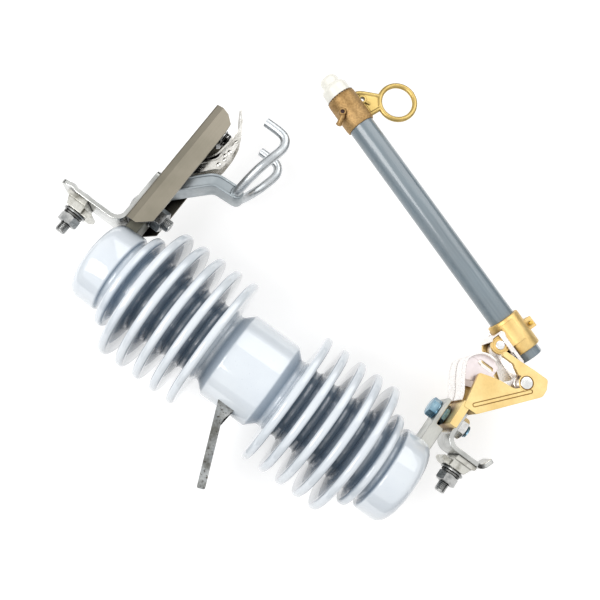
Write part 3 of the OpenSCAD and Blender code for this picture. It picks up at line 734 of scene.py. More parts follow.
def upper_terminal():
    low, high = body.box("upper_insert")
    fixed("upper_insert_block", block(low, high), "rough_galvanised", INSERT_STEEL, ["upper_insert"],
        bevel=1.2)
    low, high = body.box("upper_terminal_bar")
    leg, foot = low.x + TERMINAL_T / 2, low.z + TERMINAL_T / 2
    path = even(rounded([(leg, high.z), (leg + 0.2, high.z - 7, 8), (leg + 1.6, high.z - 11, 8),
        (leg, high.z - 17, 8), (leg, foot, 10), (high.x, foot)], 8, closed=False), 0.9)
    width = high.y - low.y
    strip = ribbon(path, TERMINAL_T, width, taper=soft_ends(length_of(path), width, 6))
    fixed("upper_terminal_strip", strip, "bright_zinc", TINNED, ["upper_terminal_bar"], bevel=0.8,
        segments=3)
    at = body.centre("upper_bolt_nut")
    low, high = body.box("upper_bolt")
    head = moved(dome(high.y, 5.5, 0.8), (at.x, 0, high.z - 5.5))
    shank = moved(screw_thread(BOLT_R, 0, high.z - 5 - low.z), (at.x, 0, high.z - 5), 180)
    fixed("upper_bolt_domed", joined(head, shank), "fastener_zinc", FASTENER, ["upper_bolt"])
    low, high = body.box("upper_bolt_nut")
    nut = moved(hex_nut(18.6, high.z - low.z - 1.6, BOLT_HOLE_R), (at.x, 0, low.z))
    ring = moved(washer(11.2, BOLT_HOLE_R, high.z - 1.6, high.z), (at.x, 0, 0))
    fixed("upper_bolt_hex_nut", joined(nut, ring), "fastener_zinc", FASTENER, ["upper_bolt_nut"],
        bevel=NUT_EDGE, segments=1)


# ---- Conductor clamps ---------------------------------------------------------------


def spring_washer(outer, hole, low, high, edge=0.4, steps=44):
    """A split ring whose two ends stand apart along its axis."""
    section = ((hole, low + edge), (outer, low + edge), (outer, high - edge), (hole, high - edge))
    rings = []
    for i in range(steps + 1):
        lift = (high - low) * 0.28 * (i / steps - 0.5)
        a = math.radians(12) + math.radians(336) * i / steps
        rings.append([on_ring(r, z + lift, a) for r, z in section])
    return skinned(rings)


def keeper():
    """A flange on the bar, a tapered hub for the nut and a curled lug that holds the wire."""
    flange = rounded([(0, -7, 0.6), (0, 13, 1), (-3.4, 12.4, 1), (-4.6, 9.6), (-4.6, -7.6)], 3)
    hub = rounded([(-3.8, -7.6), (-3.8, 10.4), (-12, 6.5, 1.5), (-12, -8, 1)], 3)
    lug = rounded([(-3.2, -6), (-11.9, -7), (-12.2, -12, 4), (-9.4, -17, 3), (-5.8, -15.4, 1.2),
        (-7.4, -11.5, 4), (-5.4, -7.4, 2)], 5)
    teeth = [prism([(-5.6 - 0.5 * i, -8.6 - 1.9 * i), (-6.6 - 0.5 * i, -8.2 - 1.9 * i),
        (-6.6 - 0.5 * i, -9.6 - 1.9 * i)], 21) for i in range(3)]
    return joined(prism(flange, 32), prism(hub, 29), prism(lug, 22), *teeth)


def clamp(prefix, flip):
    low, high = body.box(prefix + "_clamp_washer")
    height = (low.z + high.z) / 2
    back = high.x + 12

    def laid(bm):
        """A part built round Z, turned to point at the pole from the back of the bar."""
        return moved(bm, (back, 0, height), -90)

    def add(suffix, bm, node, material=FASTENER, slot="fastener_zinc", **options):
        fixed(f"{prefix}_clamp_{suffix}", bm, slot, material, [f"{prefix}_clamp_{node}"], **options)

    stud_low = body.box(prefix + "_clamp_stud")[0].x
    stud = joined(screw_thread(STUD_R, -TERMINAL_T, back - stud_low),
        moved(dome(9.5, 3.2, 0.8), (0, 0, -TERMINAL_T), 180))
    add("stud_threaded", laid(stud), "stud")
    jaws = keeper()
    if flip:
        bmesh.ops.scale(jaws, vec=(1, 1, -1), verts=jaws.verts)
    add("keeper_jaws", moved(jaws, (back, 0, height)), "keeper", KEEPER, "bright_zinc", bevel=0.7, sharp=40)
    add("flat_washer", laid(washer(10.5, STUD_R, 12, 14)), "washer")
    add("spring_washer", laid(spring_washer(8.8, STUD_R, 14, 16.6)), "lock_washer", DARK_ZINC, bevel=0.25)
    add("hex_nut", laid(hex_nut(16.5, 8.4, STUD_R - 0.5, 16.6)), "nut", bevel=NUT_EDGE, segments=1)


# ---- Hood, upper contact and hooks --------------------------------------------------

HOOD_T = 2.5
HOOD_SIDE_TOP = 7.0
HOOK_R = 4.25
HOOK_END_IN = 3.25
HOOK_END_UP = 8.75
SPRING_BACK = 15
HOOD_LEAN = ((0, HOOD_SIDE_TOP), (1.9, 1.5), (2.6, 0.5), (3.9, 0))


def hood():
    low, high = body.box("hood")
    edge = [(low.x, high.z - 11), (low.x + 10, low.z), (high.x - 17, low.z), (high.x - 8, low.z + 1),
        (high.x - 2, high.z - 14), (high.x, high.z - 7)]

    def lowest(x):
        for (x1, z1), (x2, z2) in zip(edge, edge[1:]):
            if x <= x2:
                return z1 + (z2 - z1) * (x - x1) / (x2 - x1)
        return edge[-1][1]

    stations = sorted(set([low.x + (high.x - low.x) * i / 26 for i in range(27)] + [e[0] for e in edge]))
    bm = bmesh.new()
    rows = []
    for x in stations:
        bottom = min(lowest(x), high.z - HOOD_SIDE_TOP - 0.01)
        row = []
        for inset in (0, HOOD_T):
            half, top = high.y - inset, high.z - inset
            side = [(half, bottom), (half, (bottom + high.z - HOOD_SIDE_TOP) / 2)]
            side += [(half - inward, top - below) for inward, below in HOOD_LEAN]
            row.append([(x, y, z) for y, z in side] + [(x, -y, z) for y, z in side[::-1]])
        rows.append([[bm.verts.new(p) for p in line] for line in row])
    count = len(rows[0][0])
    for a, b in zip(rows, rows[1:]):
        for k in range(count - 1):
            bm.faces.new([a[0][k], b[0][k], b[0][k + 1], a[0][k + 1]])
            bm.faces.new([a[1][k + 1], b[1][k + 1], b[1][k], a[1][k]])
        for k in (0, count - 1):
            bm.faces.new([a[0][k], a[1][k], b[1][k], b[0][k]])
    for row in (rows[0], rows[-1]):
        for k in range(count - 1):
            bm.faces.new([row[0][k], row[0][k + 1], row[1][k + 1], row[1][k]])
    fixed("hood_folded_sheet", bm, "hood_steel", HOOD_STEEL, ["hood"], bevel=0.3, sharp=11)


def upper_contact():
    low, high = body.box("upper_contact")
    hood_end = body.box("hood")[1].x
    top = body.box("hood")[1].z - HOOD_T - 1.25
    base = low.z + 1.9
    back = hood_end - 70
    tip = (high.x - 0.8, base + 12.2)
    start = shifted([(2, 0), (8, -0.6), (14, -4)], back, top)
    bend = [(-43.7, 9), (-35, 2.6), (-25, 0.8), (-15, 0), (-8, 0.2), (-1, 1.8), (6.5, 6.6)]
    path = even(curve(start + shifted(bend, hood_end, base) + [tip], 6), 1.6)

    def taper(t):
        return 1 if t < 0.66 else 1 - 0.84 * (t - 0.66) / 0.34

    strip = ribbon(path, 1.5, high.y - low.y - 0.4, taper=taper)
    under = shifted([(3, -3.6), (13, -8)], back, top)
    under += shifted([(-44.5, 5.6), (-37, -0.4), (-30, -1.2)], hood_end, base)
    leaf = ribbon(even(curve(under, 6), 1.6), 1.5, 19)
    side = rounded([(-64, 20, 2), (-52.5, 9), (-44, base - low.z + 1.2, 6), (-38.6, -1.6, 5),
        (-31, -3.0, 6), (-25, -2.2), (-19, -4.6, 3), (-14.5, -4.2, 3), (-10.2, -0.4, 4), (-2, -0.4, 6),
        (6, 4.2, 10), (14.5, 11.0), (14.2, 9.6), (7, 3.0, 10), (-1, -2.2, 6), (-11, -7.0, 4), (-16, -8.0),
        (-25, -9.3), (-38, -9.4, 3), (-44, -8.2, 3), (-46, -5.0, 3), (-54, 1.6), (-62, 8.4)], 4)
    sides = [prism(shifted(side, hood_end, base), 1.3, s * 10.2) for s in (-1, 1)]
    pressed = ((-25, 0, 0.4, 7.6, 1.6, -6), (-36, 4.2, 2.6, 4.4, 2.2, -30), (-36, -4.2, 2.6, 4.4, 2.2, -30))
    bowls = [moved(dome(r, h, 0.1), (hood_end + x, y, base + z), 180 - lean)
        for x, y, z, r, h, lean in pressed]
    dimples = ((-30, -5, 1.9), (-40.4, -5.4, 2.1), (-33.6, -7, 1.8), (-25, -6.4, 2.3), (-13.5, -5.2, 1.6))
    for x, z, r in dimples:
        bowls += [moved(dome(r, 0.9, 0.2, sides=24), (hood_end + x, s * 10.8, base + z), -90 * s, "X")
            for s in (-1, 1)]
    fixed("upper_contact_sprung_strip", joined(strip, leaf, *sides, *bowls), "silvered_copper", SILVERED,
        ["upper_contact"], bevel=0.25, sharp=40)


def spring():
    at_x = body.box("hood")[1].x - SPRING_BACK
    rest = body.box("upper_contact")[0].z + 3.4
    coil = moved(helix(5.9, 1.8, rest + 1.0, rest + 5.2, 2), (at_x, 0, 0))
    fixed("contact_spring_coil", coil, "spring_steel", SPRING, ["contact_spring"])
    seat = rest + 6.4
    high = body.box("spring_bolt")[1]
    shank = moved(screw_thread(3.0, 0, high.z - rest - 3.4, 1.0, 0.5, 20), (at_x, 0, high.z - 2), 180)
    head = moved(dome(5.5, 2.0, 0.4), (at_x, 0, high.z - 2))
    disc = moved(washer(7.0, 2.6, seat, seat + 1.2), (at_x, 0, 0))
    nut = moved(hex_nut(10, 4.4, 2.4), (at_x, 0, seat + 1.2))
    ear = ribbon([(at_x + 6.5, seat + 0.4), (at_x - 8, seat - 0.9), (at_x - 9.6, seat + 1.2),
        (at_x - 9.8, seat + 9)], 1.0, 11)
    fixed("spring_bolt_and_nut", joined(shank, head, disc, nut, ear), "fastener_zinc", FASTENER,
        ["spring_bolt"])


def hook_arm():
    low, high = body.box("hook_arm")
    end_x, end_z = body.box("hook_left")[0].x + HOOK_END_IN, low.z + HOOK_END_UP
    thick, width = 12.0, high.y - low.y
    top = high.z - thick / 2
    path = even(rounded([(low.x, top), (low.x + 7.7, top, 14), (end_x - 1.5, end_z + 22.5, 15),
        (end_x, end_z)], 8, closed=False), 2.0)
    bm = ribbon(path, thick - 2.4, width - 2.4)
    rails = [ribbon(offset_path(path, side * (thick / 2 - 1.1)), 2.2, width) for side in (-1, 1)]
    knuckle = turned([(0, -width / 2), (6, -width / 2, 1.8), (6, width / 2, 1.8), (0, width / 2)], 4, 40,
        "Y", (end_x, 0, end_z), closed=False)
    fixed("hook_arm_forging", joined(bm, *rails, knuckle), "galvanised", ZINC, ["hook_arm"], bevel=0.7,
        segments=3)


def offset_path(path, distance):
    """The same X-Z path moved sideways."""
    found = []
    last = len(path) - 1
    for i, p in enumerate(path):
        ahead = (path[min(i + 1, last)] - path[max(i - 1, 0)]).normalized()
        found.append(Vector((p.x - ahead.y * distance, p.y + ahead.x * distance)))
    return found


def hooks():
    for side, name in ((1, "hook_left"), (-1, "hook_right")):
        low, high = body.box(name)
        x0, z0 = low.x + HOOK_END_IN, body.box("hook_arm")[0].z + HOOK_END_UP
        wide = max(abs(low.y), abs(high.y)) - HOOK_R
        reach = high.x - HOOK_R - x0
        route = [(0, 10, 0), (1.2, 15.5, -0.3), (6.5, 21, -1.5), (14, 27.5, -3.3), (24, 33.4, -5.7),
            (34, wide, -8.2), (48, wide, -11.2), (reach - 5.8, wide, -10.1), (reach - 1.4, wide, -6),
            (reach, wide, 1)]
        points = [(x0 + x, side * y, z0 + z) for x, y, z in route] + [(x0 + reach, side * wide, high.z)]
        path = curve(points, 8)
        fixed(name + "_rod", tube_along(path, HOOK_R, 32), "galvanised", ROD_ZINC, [name], bevel=0.6,
            segments=3, sharp=60)


upper_terminal()
clamp("upper", False)
hood()
upper_contact()
spring()
hook_arm()
hooks()

# ---- Lower end: insert, bolts and terminal bar ---------------------------------------


def lower_end():
    low, high = body.box("lower_insert")
    step_x, step_z = 58, high.z - 4.5
    outline = rounded([(low.x, low.z), (step_x, low.z, 2), (step_x, step_z, 1), (high.x, step_z, 1),
        (high.x, high.z, 1.5), (low.x, high.z)], 4)
    fixed("lower_insert_block", prism(outline, high.y - low.y), "rough_galvanised", LOW_INSERT,
        ["lower_insert"], bevel=0.8)
    low, high = body.box("lower_bolt")
    at = (low + high) / 2
    seat = high.z - 8
    head = moved(hex_nut(16.2, 7.5, 0.8), (at.x, 0, seat))
    collar = moved(washer(9.3, 2, seat, seat + 1.2), (at.x, 0, 0))
    cap_disc = moved(dome(6.8, 0.9, 0.2), (at.x, 0, high.z - 0.9))
    shank = moved(screw_thread(BOLT_R, 0, seat - low.z), (at.x, 0, seat), 180)
    fixed("lower_bolt_hex", joined(head, collar, cap_disc, shank), "fastener_zinc", BLUE_ZINC,
        ["lower_bolt"], bevel=NUT_EDGE, segments=1)
    low, high = body.box("lower_spacer")
    fixed("lower_spacer_hex", moved(hex_nut(18, high.z - low.z, BOLT_HOLE_R), (at.x, 0, low.z)),
        "fastener_zinc", BLUE_ZINC, ["lower_spacer"], bevel=NUT_EDGE, segments=1)
    low, high = body.box("lower_bolt_nut")
    nut = moved(hex_nut(18, high.z - low.z - 1.4, BOLT_HOLE_R), (at.x, 0, low.z))
    ring = moved(washer(10.8, BOLT_HOLE_R, high.z - 1.4, high.z), (at.x, 0, 0))
    fixed("lower_bolt_hex_nut", joined(nut, ring), "fastener_zinc", BRIGHT_ZINC, ["lower_bolt_nut"],
        bevel=NUT_EDGE, segments=1)


def lower_terminal():
    low, high = body.box("lower_terminal_bar")
    width = high.y - low.y
    leg, foot = low.x + TERMINAL_T / 2, high.z - TERMINAL_T / 2
    bend = even(rounded([(high.x, foot), (leg, foot, 10.1), (leg, foot - 33)], 8, closed=False), 1.2)
    lip = curve([(leg, foot - 33), (leg + 0.6, foot - 36.5), (leg + 4.4, foot - 40.4),
        (leg + 12, foot - 44)], 5)
    path = bend + lip[1:]
    share = len(bend) / len(path)

    def taper(t):
        return 1 if t < share else 1 - 0.42 * (t - share) / (1 - share)

    strip = ribbon(path, TERMINAL_T, width, taper=taper)
    fixed("lower_terminal_strip", strip, "bright_zinc", TINNED, ["lower_terminal_bar"], bevel=0.8,
        segments=3)


# ---- Hinge casting and lower contacts -------------------------------------------------

PIN = body.centre("hinge_pin")
TOGGLE = body.centre("toggle_pin")
HINGE_HALF = body.box("hinge_casting")[1].y
PLATE_T = 5.0
FOOT_T = 7.0
FOOT_Z = body.box("lower_terminal_bar")[1].z + FOOT_T
FOOT_UP = FOOT_Z - PIN.z


def plate_corners():
    """The side plate's outline: its jaw, the notch round the pin, its arm and its lower edge."""
    return [(-49.7, FOOT_UP - 2, 1), (-17.7, FOOT_UP + 3, 2), (-14.7, 30, 4), (-12.3, 21, 4),
        (-10.6, 5.8, 5), (-5.2, 1.0, 3), (2.6, 6.4, 3), (1.6, 9.5, 3), (4.9, 15.7, 3), (7, 18.3, 3),
        (7.1, 31.4, 2.2), (12.2, 30.4, 2.2), (12.7, 13.5, 8), (13.5, 0, 8), (13.7, -12.9, 3),
        (12.8, -14.6, 3), (5.6, -18, 4), (-1.6, -18.4, 6), (-49, FOOT_UP - 14.9, 2)]


def plate(y):
    """One side plate: the outline of plate_corners made PLATE_T thick."""
    return prism(shifted(rounded(plate_corners(), 3), PIN.x, PIN.z), PLATE_T, y)


def slot_rim(y):
    """The dark line round a long narrow field on the plate's face."""
    start = Vector((PIN.x - 43.5, PIN.z + 27.3))
    end = Vector((PIN.x - 4.2, PIN.z - 6.9))
    along = (end - start).normalized()
    side = Vector((-along.y, along.x))
    loop = []
    for centre, turn in ((end, 0), (start, math.pi)):
        for i in range(13):
            a = turn - math.pi / 2 + math.pi * i / 12
            loop.append(centre + 1.6 * (along * math.cos(a) + side * math.sin(a)))
    loop.append(loop[0])
    return tube_along([(p.x, y, p.y) for p in loop], 0.42, 8)


def hinge_casting():
    parts = [plate(side * (HINGE_HALF - PLATE_T / 2)) for side in (-1, 1)]
    foot_low = FOOT_Z - FOOT_T
    parts.append(block((PIN.x - 69.1, -HINGE_HALF + 0.6, foot_low),
        (PIN.x - 45.1, HINGE_HALF - 0.6, FOOT_Z)))
    web = rounded([(-49.7, FOOT_UP - 2), (-44, FOOT_UP - 1.2, 2), (-42, FOOT_UP - 13, 5),
        (-26, FOOT_UP - 27, 2), (-30, FOOT_UP - 31, 2), (-49, FOOT_UP - 14.9, 2)], 4)
    parts.append(prism(shifted(web, PIN.x, PIN.z), 2 * HINGE_HALF - 1.2))
    for side in (-1, 1):
        collar = turned([(5.9, -0.3), (7.4, -0.3), (7.4, 0.35, 0.3), (5.9, 0.35, 0.2)], 2, 40, "Y",
            (PIN.x, side * HINGE_HALF, PIN.z))
        parts.append(collar)
    fixed("hinge_sand_casting", joined(*parts), "cast_brass", BRASS, ["hinge_casting"], bevel=0.9,
        segments=3)
    rims = [slot_rim(side * (HINGE_HALF + 0.02)) for side in (-1, 1)]
    rims += [moved(ring_of(5.98, 0.4, sides=48), (PIN.x, side * (HINGE_HALF + 0.15), PIN.z), 90, "X")
        for side in (-1, 1)]
    fixed("hinge_slot_line", joined(*rims), "cast_brass", DARK_BRASS)


def cheek(y, x0, z0):
    """A thin sheet inside the loop, in two halves that leave a long rounded slot between them."""
    half_slot = half_round(2.3, 0)
    right_edge = [(-7 + x, 5 + z) for x, z in half_slot] + [(-7 + x, -6 - z) for x, z in half_slot[::-1]]
    left_edge = [(-14 - x, z) for x, z in right_edge]
    left = [(-20, -11), (-28, 9.4), (-20, 13.5), (-12, 16.8), (-7, 15.2)] + left_edge + [(-7, -11)]
    right = [(-7, 15.2), (-2, 11), (1, 5), (1.2, -5), (-2, -11), (-7, -11)] + right_edge[::-1]
    return [prism(shifted(half, x0, z0), 0.9, y) for half in (left, right)]


def lower_contacts():
    top = FOOT_Z
    rise = shifted([(-45.5, 1.4), (-38, 4), (-27, 10.8), (-18, 15.4)], PIN.x, top)
    arch = shifted([(-11, 16.8), (-4, 13), (0.8, 7), (2, 1), (1.6, -5.4)], PIN.x, top)
    for side, name in ((1, "lower_contact_left"), (-1, "lower_contact_right")):
        low, high = body.box(name)
        outer = max(abs(low.y), abs(high.y))
        loop = ribbon(even(curve(rise + arch, 7), 1.2), 2.0, 4.6, side * (outer - 2.3))
        finger = ribbon(even(curve(rise + [arch[0], (PIN.x - 6.5, top + 14.6)], 7), 1.2), 2.0, 16.4,
            side * (1.3 + 8.2))
        fixed(name + "_loops", joined(loop, finger), "silvered_copper", BRIGHT_SILVER, [name], bevel=0.5,
            segments=2)
        fixed(name + "_cheek", joined(*cheek(side * (outer - 4.1), PIN.x, top)), "silvered_copper", CHEEK,
            bevel=0.25)


# ---- Pins and trunnion ------------------------------------------------------------------


def cross_pin(node, name, rides, slot, material, radius, head=0.0, over=0.0):
    """A pin along Y with rounded ends; head widens the last millimetre at each end."""
    at = body.centre(node)
    half = body.box(node)[1].y + over
    wide = radius + head
    pin = turned([(0, -half), (wide, -half, 0.8), (wide, -half + 1.1), (radius, -half + 1.1),
        (radius, half - 1.1), (wide, half - 1.1), (wide, half, 0.8), (0, half)], 4, 48, "Y", at,
        closed=False)
    piece(name, pin, body, rides, slot, material, [node])


def trunnion():
    half = body.box("trunnion")[1].y
    hub = turned([(5.2, -half), (9, -half, 1.6), (9, -half + 7, 4), (8.4, -half + 10, 4),
        (8.4, half - 10, 4), (9, half - 7, 4), (9, half, 1.6), (5.2, half)], 4, 56, "Y", PIN, closed=False)
    along = Vector((TOGGLE.x - PIN.x, TOGGLE.z - PIN.z))
    reach = along.length
    run = reach - 9.7
    eye = prism(rounded([(reach - 14, -5.2), (reach, -5.6, 5.5), (reach + 5.6, 0, 5), (reach, 5.6, 5.5),
        (reach - 14, 5.2)], 5), 18)
    turn = -math.degrees(math.atan2(along.y, along.x))
    eye = moved(eye, PIN, turn)
    step = along.normalized()
    path = [Vector((PIN.x, PIN.z)) + step * run * i / 14 for i in range(15)]
    web = ribbon(path, 10.4, 2 * half - 0.8, taper=lambda t: 0.45 + 0.55 * (1 - t) ** 1.6)
    piece("trunnion_casting", joined(hub, web, eye), body, "trunnion", "silvered_copper", BRIGHT_SILVER,
        ["trunnion"], bevel=1.2, segments=3)


lower_end()
lower_terminal()
clamp("lower", True)
hinge_casting()
lower_contacts()
cross_pin("hinge_pin", "hinge_pin_turned", "pin", "stainless", PIN_STEEL, 5.4, 0.1)
trunnion()
cross_pin("toggle_pin", "toggle_pin_turned", "holder", "stainless", PIN_STEEL, 3.45, 0.75, 0.8)

# ---- Fuse holder --------------------------------------------------------------------------

TUBE_R = 12.3
TUBE_BORE = 7.5
LOW_FERRULE_R = 15.5
TOP_FERRULE_R = 14.2
EAR_T = 4.0
EAR_R = 8.0
LUG_DROP = 7.0  # how far below the solids the clamp lug and its screw are drawn
SLEEVE_LENGTH = 34.5
RING_EYE_R = 14.5
RING_HOLE_R = 2.2
CAP_CROWN = 10.2


def fuse_tube():
    low, high = holder.box("fuse_tube")
    tube = turned([(TUBE_BORE, low.z, 0.8), (TUBE_R, low.z, 1.0), (TUBE_R, high.z),
        (TUBE_BORE, high.z - 13)], 3, 72)
    held("fuse_tube_wound", tube, "tube_grey", TUBE, ["fuse_tube"])


def lower_ferrule():
    low, high = holder.box("lower_ferrule")
    pivot_x = holder.centre("toggle_pin").x
    ear_y = holder.box("toggle_pin")[1].y - 0.2 - EAR_T / 2
    sleeve = turned([(TUBE_R, low.z), (LOW_FERRULE_R, low.z, 1.2), (LOW_FERRULE_R, high.z, 1.2),
        (TUBE_R, high.z)], 3, 72)
    parts = [sleeve]
    for side in (-1, 1):
        angles = [math.radians(90 + 10 * i) for i in range(19)]
        ear = [Vector((pivot_x + EAR_R * math.cos(a), EAR_R * math.sin(a))) for a in angles]
        inner = rounded([(pivot_x + 1, -EAR_R), (-9, -EAR_R, 3), (-6, -9), (-6, 13), (-9.5, 12.5, 2),
            (-12.5, EAR_R, 3), (pivot_x + 1, EAR_R)], 3, closed=False)
        outline = ear + inner[1:-1]
        parts.append(prism(outline, EAR_T, side * ear_y))
        middle = 90 * side
        parts.append(shell(LOW_FERRULE_R - 1, LOW_FERRULE_R + 0.9, middle - 6 * side, middle + 62 * side,
            -8, 13))
        boss = turned([(3.6, -0.4), (6.4, -0.4), (6.4, 0.5, 0.4), (3.6, 0.5)], 2, 40, "Y",
            (pivot_x, side * (ear_y + EAR_T / 2), 0))
        parts.append(boss)
    for side in (-1, 1):
        parts.append(block((LOW_FERRULE_R - 2.5, side * 3.4 - 2.3, high.z - 15.5 - LUG_DROP),
            (high.x, side * 3.4 + 2.3, high.z - 5 - LUG_DROP)))
    held("lower_ferrule_casting", joined(*parts), "ferrule_brass", PALE_BRASS, ["lower_ferrule"], bevel=0.7,
        segments=2, sharp=38)
    at = holder.centre("clamp_screw") - Vector((0, 0, LUG_DROP))
    low, high = holder.box("clamp_screw")
    shank = moved(screw_thread(2.0, 0, high.y - low.y - 2.4, 0.9, 0.4, 18), (at.x, low.y, at.z), -90, "X")
    head = moved(dome(3.5, 2.8, 1.4, sides=32), (at.x, high.y - 2.8, at.z), -90, "X")
    held("clamp_screw_head", joined(shank, head), "ferrule_brass", SCREW_BRASS, ["clamp_screw"])


def strap():
    low, high = holder.box("link_strap")
    t, roof_z = 1.5, 8.4
    back = block((low.x, low.y, low.z), (low.x + t, high.y, -11))
    bend = [(-26.5, roof_z - 1.6), (-24.5, roof_z + 0.7, 2), (low.x + 1, roof_z + 0.9)]
    roof = ribbon(rounded(bend, 4, closed=False), t, high.y - low.y)
    parts = [back, roof]
    for y in (low.y, high.y - t):
        outline = rounded([(low.x, low.z, 1), (high.x, low.z, 2), (high.x, 3, 3), (high.x + 1.5, 7, 2),
            (high.x - 0.5, roof_z + 1.6, 1.5), (low.x, roof_z + 1.6, 1.5)], 3)
        parts.append(prism(outline, t, y + t / 2))
    held("link_strap_channel", joined(*parts), "stainless", STRAP, ["link_strap"], bevel=0.3)


def upper_ferrule():
    high = holder.box("upper_ferrule")[1]
    r = TOP_FERRULE_R
    foot = high.z - SLEEVE_LENGTH
    sleeve = turned([(TUBE_R, foot), (r - 0.5, foot, 0.8), (r, foot + 4, 3), (r, high.z - 3, 2),
        (r - 0.7, high.z, 0.6), (TUBE_R - 1, high.z)], 3, 72)
    boss_x, boss_z = -11.8, high.z - 16.4
    boss = turned([(2.0, -13.8), (3.3, -13.8, 0.6), (3.9, -7), (2.0, -7)], 3, 32, "Y", (boss_x, 0, boss_z))
    route = ((0.4, -10.6, 1.8), (2.8, -10.2, 3.6), (5.6, -8.8, 5.4), (8.2, -7.2, 7.0))
    path = curve([(boss_x - x, y, boss_z - z) for x, y, z in route], 5)
    tail = tube_along(path, lambda t: 2.6 - 0.2 * t, 20)
    knob = moved(dome(3.0, 1.6, 0.5, sides=24), (boss_x - 7.8, -7.2, boss_z - 6.8), -122)
    held("upper_ferrule_casting", joined(sleeve, boss, tail, knob), "ferrule_brass", BRONZE,
        ["upper_ferrule"], bevel=0.25, sharp=38)
    # Painted shade: a dark disc stands in for the shaded bore of the boss, and dark patches on the rim
    # stand in for the shade in its notches.
    bore_shade = lathe([(0, -13.1), (2.1, -13.1), (2.1, -12.6), (0, -12.6)], 24, "Y", (boss_x, 0, boss_z))
    notch_shades = [shell(r - 1.6, r - 0.45, a, a + 5, high.z - 1.3, high.z + 0.05, 2) for a in range(0, 360, 12)]
    held("upper_ferrule_painted_shade", joined(bore_shade, *notch_shades), "ferrule_brass", HOLE_SHADE)


def pull_ring():
    low, high = holder.box("pull_ring")
    section = (high.y - low.y) / 2
    centre_x = high.x - RING_EYE_R - 2 * section
    centre_z = low.z + RING_EYE_R + 2 * section
    ring = moved(ring_of(RING_EYE_R + section, section, sides=72), (centre_x, 0, centre_z), 90, "X")
    r = TOP_FERRULE_R
    hole_x, hole_z = r + 1.7, centre_z + 20.3
    right_edge = shifted(half_round(RING_HOLE_R), hole_x, hole_z)
    left_edge = shifted([(-x, z) for x, z in half_round(RING_HOLE_R)], hole_x, hole_z)
    left_web = [(hole_x, centre_z + 3.4), (r - 2, centre_z + 3), (r - 2, centre_z + 30),
        (hole_x, centre_z + 28.9)]
    right_web = [(hole_x, centre_z + 28.9), (r + 5, centre_z + 27), (centre_x - 12.5, centre_z + 13),
        (centre_x - 16.2, centre_z + 4), (hole_x, centre_z + 3.4)]
    webs = [prism(left_web + left_edge, section), prism(right_web + right_edge[::-1], section)]
    webs.append(turned([(RING_HOLE_R, -section), (4.3, -section, 0.8), (4.3, section, 0.8),
        (RING_HOLE_R, section)], 3, 36, "Y", (hole_x, 0, hole_z)))
    webs += [tube_along([(hole_x + 1, side * 1.4, hole_z - 3.4), (hole_x + 3.4, side * 1.2, hole_z - 8)],
        1.3, 14) for side in (-1, 1)]
    upper_rib = [(r - 1.5, 0, centre_z + 29), (r + 5, 0, centre_z + 26.2),
        (centre_x - 10.5, 0, centre_z + 14)]
    lower_rib = [(r - 2, 0, centre_z + 4.5), (centre_x - 16, 0, centre_z + 4)]
    ribs = [tube_along(curve(rib, 6), 2.2, 14) for rib in (upper_rib, lower_rib)]
    held("pull_ring_and_arm", joined(ring, *webs, *ribs), "ferrule_brass", RING_BRASS, ["pull_ring"],
        bevel=0.4, sharp=50)


def tube_cap():
    low, high = holder.box("tube_cap")
    base, top = 12.8, 8.7
    step = high.z - CAP_CROWN
    cap = turned([(0, low.z), (base, low.z, 0.5), (base, step - 3.2, 3), (base - 2.2, step, 2.4),
        (top + 0.4, step + 0.4, 1.0), (top + 0.1, high.z - 3.6, 3), (top - 2.6, high.z - 0.4, 3),
        (0, high.z)], 5, 72, closed=False)
    held("tube_cap_moulding", cap, "ivory_cap", IVORY, ["tube_cap"], sharp=50)


fuse_tube()
lower_ferrule()
strap()
upper_ferrule()
pull_ring()
tube_cap()

# ---- Stage: floor, light and camera ----------------------------------------------

CAMERA_AT = (0.0168, -0.6977, 0.0088)
CAMERA_AIM = (0.1595, 0.0, -0.0426)
CAMERA_ROLL = -76.14
LENS = 47.95
CARD_AWAY = 0.6
CARD_TALL = 0.28
CARD_TURN = 13
MIDDLE = Vector((0.18, 0, -0.03))
FLOOR_X, FLOOR_Z = 0.18, -0.04
FLOOR_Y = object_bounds()[1].y + 0.004


def stage():
    """A pale floor that the part lies on, seen from above by the camera."""
    bpy.ops.mesh.primitive_plane_add(size=6, location=(FLOOR_X, FLOOR_Y, FLOOR_Z),
        rotation=(math.radians(90), 0, 0))
    floor = bpy.context.object
    floor.name = "studio_floor"
    n = Nodes("studio_floor")
    diffuse = n.add("BsdfDiffuse", {"Color": (0.55, 0.55, 0.55, 1)}).outputs[0]
    glow = n.add("Emission", {"Color": (1, 1, 1, 1), "Strength": 0.62}).outputs[0]
    lit = n.add("AddShader", {0: diffuse, 1: glow}).outputs[0]
    seen, rays = n.sight()
    face = n.add("MixShader", {"Fac": seen, 1: diffuse, 2: lit}).outputs[0]
    clear = n.add("BsdfTransparent").outputs[0]
    behind = n.maths("MAXIMUM", n.add("NewGeometry").outputs["Backfacing"], rays["Is Shadow Ray"])
    both = n.add("MixShader", {"Fac": behind, 1: face, 2: clear}).outputs[0]
    n.put(n.tree.nodes["Material Output"].inputs["Surface"], both)
    floor.data.materials.append(n.owner)


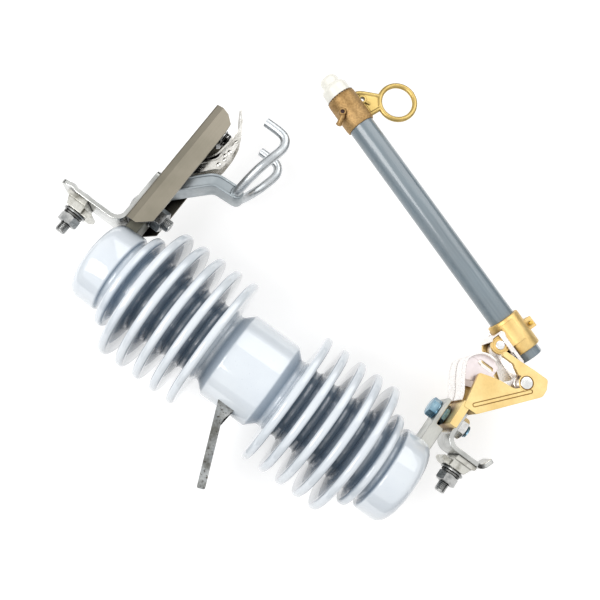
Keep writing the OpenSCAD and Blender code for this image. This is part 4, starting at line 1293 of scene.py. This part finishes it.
def cards():
    """Four dark cards that stand round the part out of the camera's sight, for grey reflections."""
    n = Nodes("dark_card")
    n.finish(Base_Color=(0.02, 0.02, 0.02, 1), Roughness=0.9)
    for i in range(4):
        a = math.radians(90 * i + CARD_TURN)
        at = Vector((FLOOR_X + CARD_AWAY * math.cos(a), FLOOR_Y - CARD_TALL / 2,
            FLOOR_Z + CARD_AWAY * math.sin(a)))
        bpy.ops.mesh.primitive_plane_add(size=1, location=at)
        card = bpy.context.object
        card.name = "dark_card_%d" % (i + 1)
        card.scale = (1.1, CARD_TALL, 1)
        card.rotation_euler = (0, math.radians(90) - a, 0)
        for ray in ("camera", "diffuse", "transmission", "shadow", "volume_scatter"):
            setattr(card, "visible_" + ray, False)
        card.data.materials.append(n.owner)


def lamp(name, at, size, power):
    """A square area lamp aimed at the middle of the part."""
    data = bpy.data.lights.new(name, "AREA")
    data.energy = power
    data.shape = "RECTANGLE"
    data.size = data.size_y = size
    obj = bpy.data.objects.new(name, data)
    obj.location = at
    obj.rotation_euler = (MIDDLE - Vector(at)).to_track_quat("-Z", "Y").to_euler()
    bpy.context.scene.collection.objects.link(obj)


def world():
    """White surroundings, dimmer on the rays that only light the part."""
    n = Nodes("studio", "worlds", "Background")
    bpy.context.scene.world = n.owner
    n.finish(Color=(1, 1, 1, 1), Strength=n.ramp(n.sight()[0], 0, 1, 0.55, 1.0))


def camera():
    data = bpy.data.cameras.new("camera")
    data.lens = LENS
    data.sensor_width = 36
    obj = bpy.data.objects.new("camera", data)
    forward = (Vector(CAMERA_AIM) - Vector(CAMERA_AT)).normalized()
    level = forward.cross(Vector((0, 0, 1))).normalized()
    upward = level.cross(forward)
    roll = math.radians(CAMERA_ROLL)
    right = level * math.cos(roll) + upward * math.sin(roll)
    up = forward.cross(right) * -1
    turn = Matrix((right, up, -forward)).transposed().to_4x4()
    obj.matrix_world = Matrix.Translation(CAMERA_AT) @ turn
    bpy.context.scene.collection.objects.link(obj)
    bpy.context.scene.camera = obj


stage()
cards()
world()
lamp("key", (-0.35, -1.3, 0.9), 0.9, 14)
lamp("fill", (1.1, -1.0, -0.5), 1.2, 7)
lamp("back", (0.3, 1.3, 0.8), 1.2, 10)
camera()
bpy.context.scene.view_settings.view_transform = "Standard"
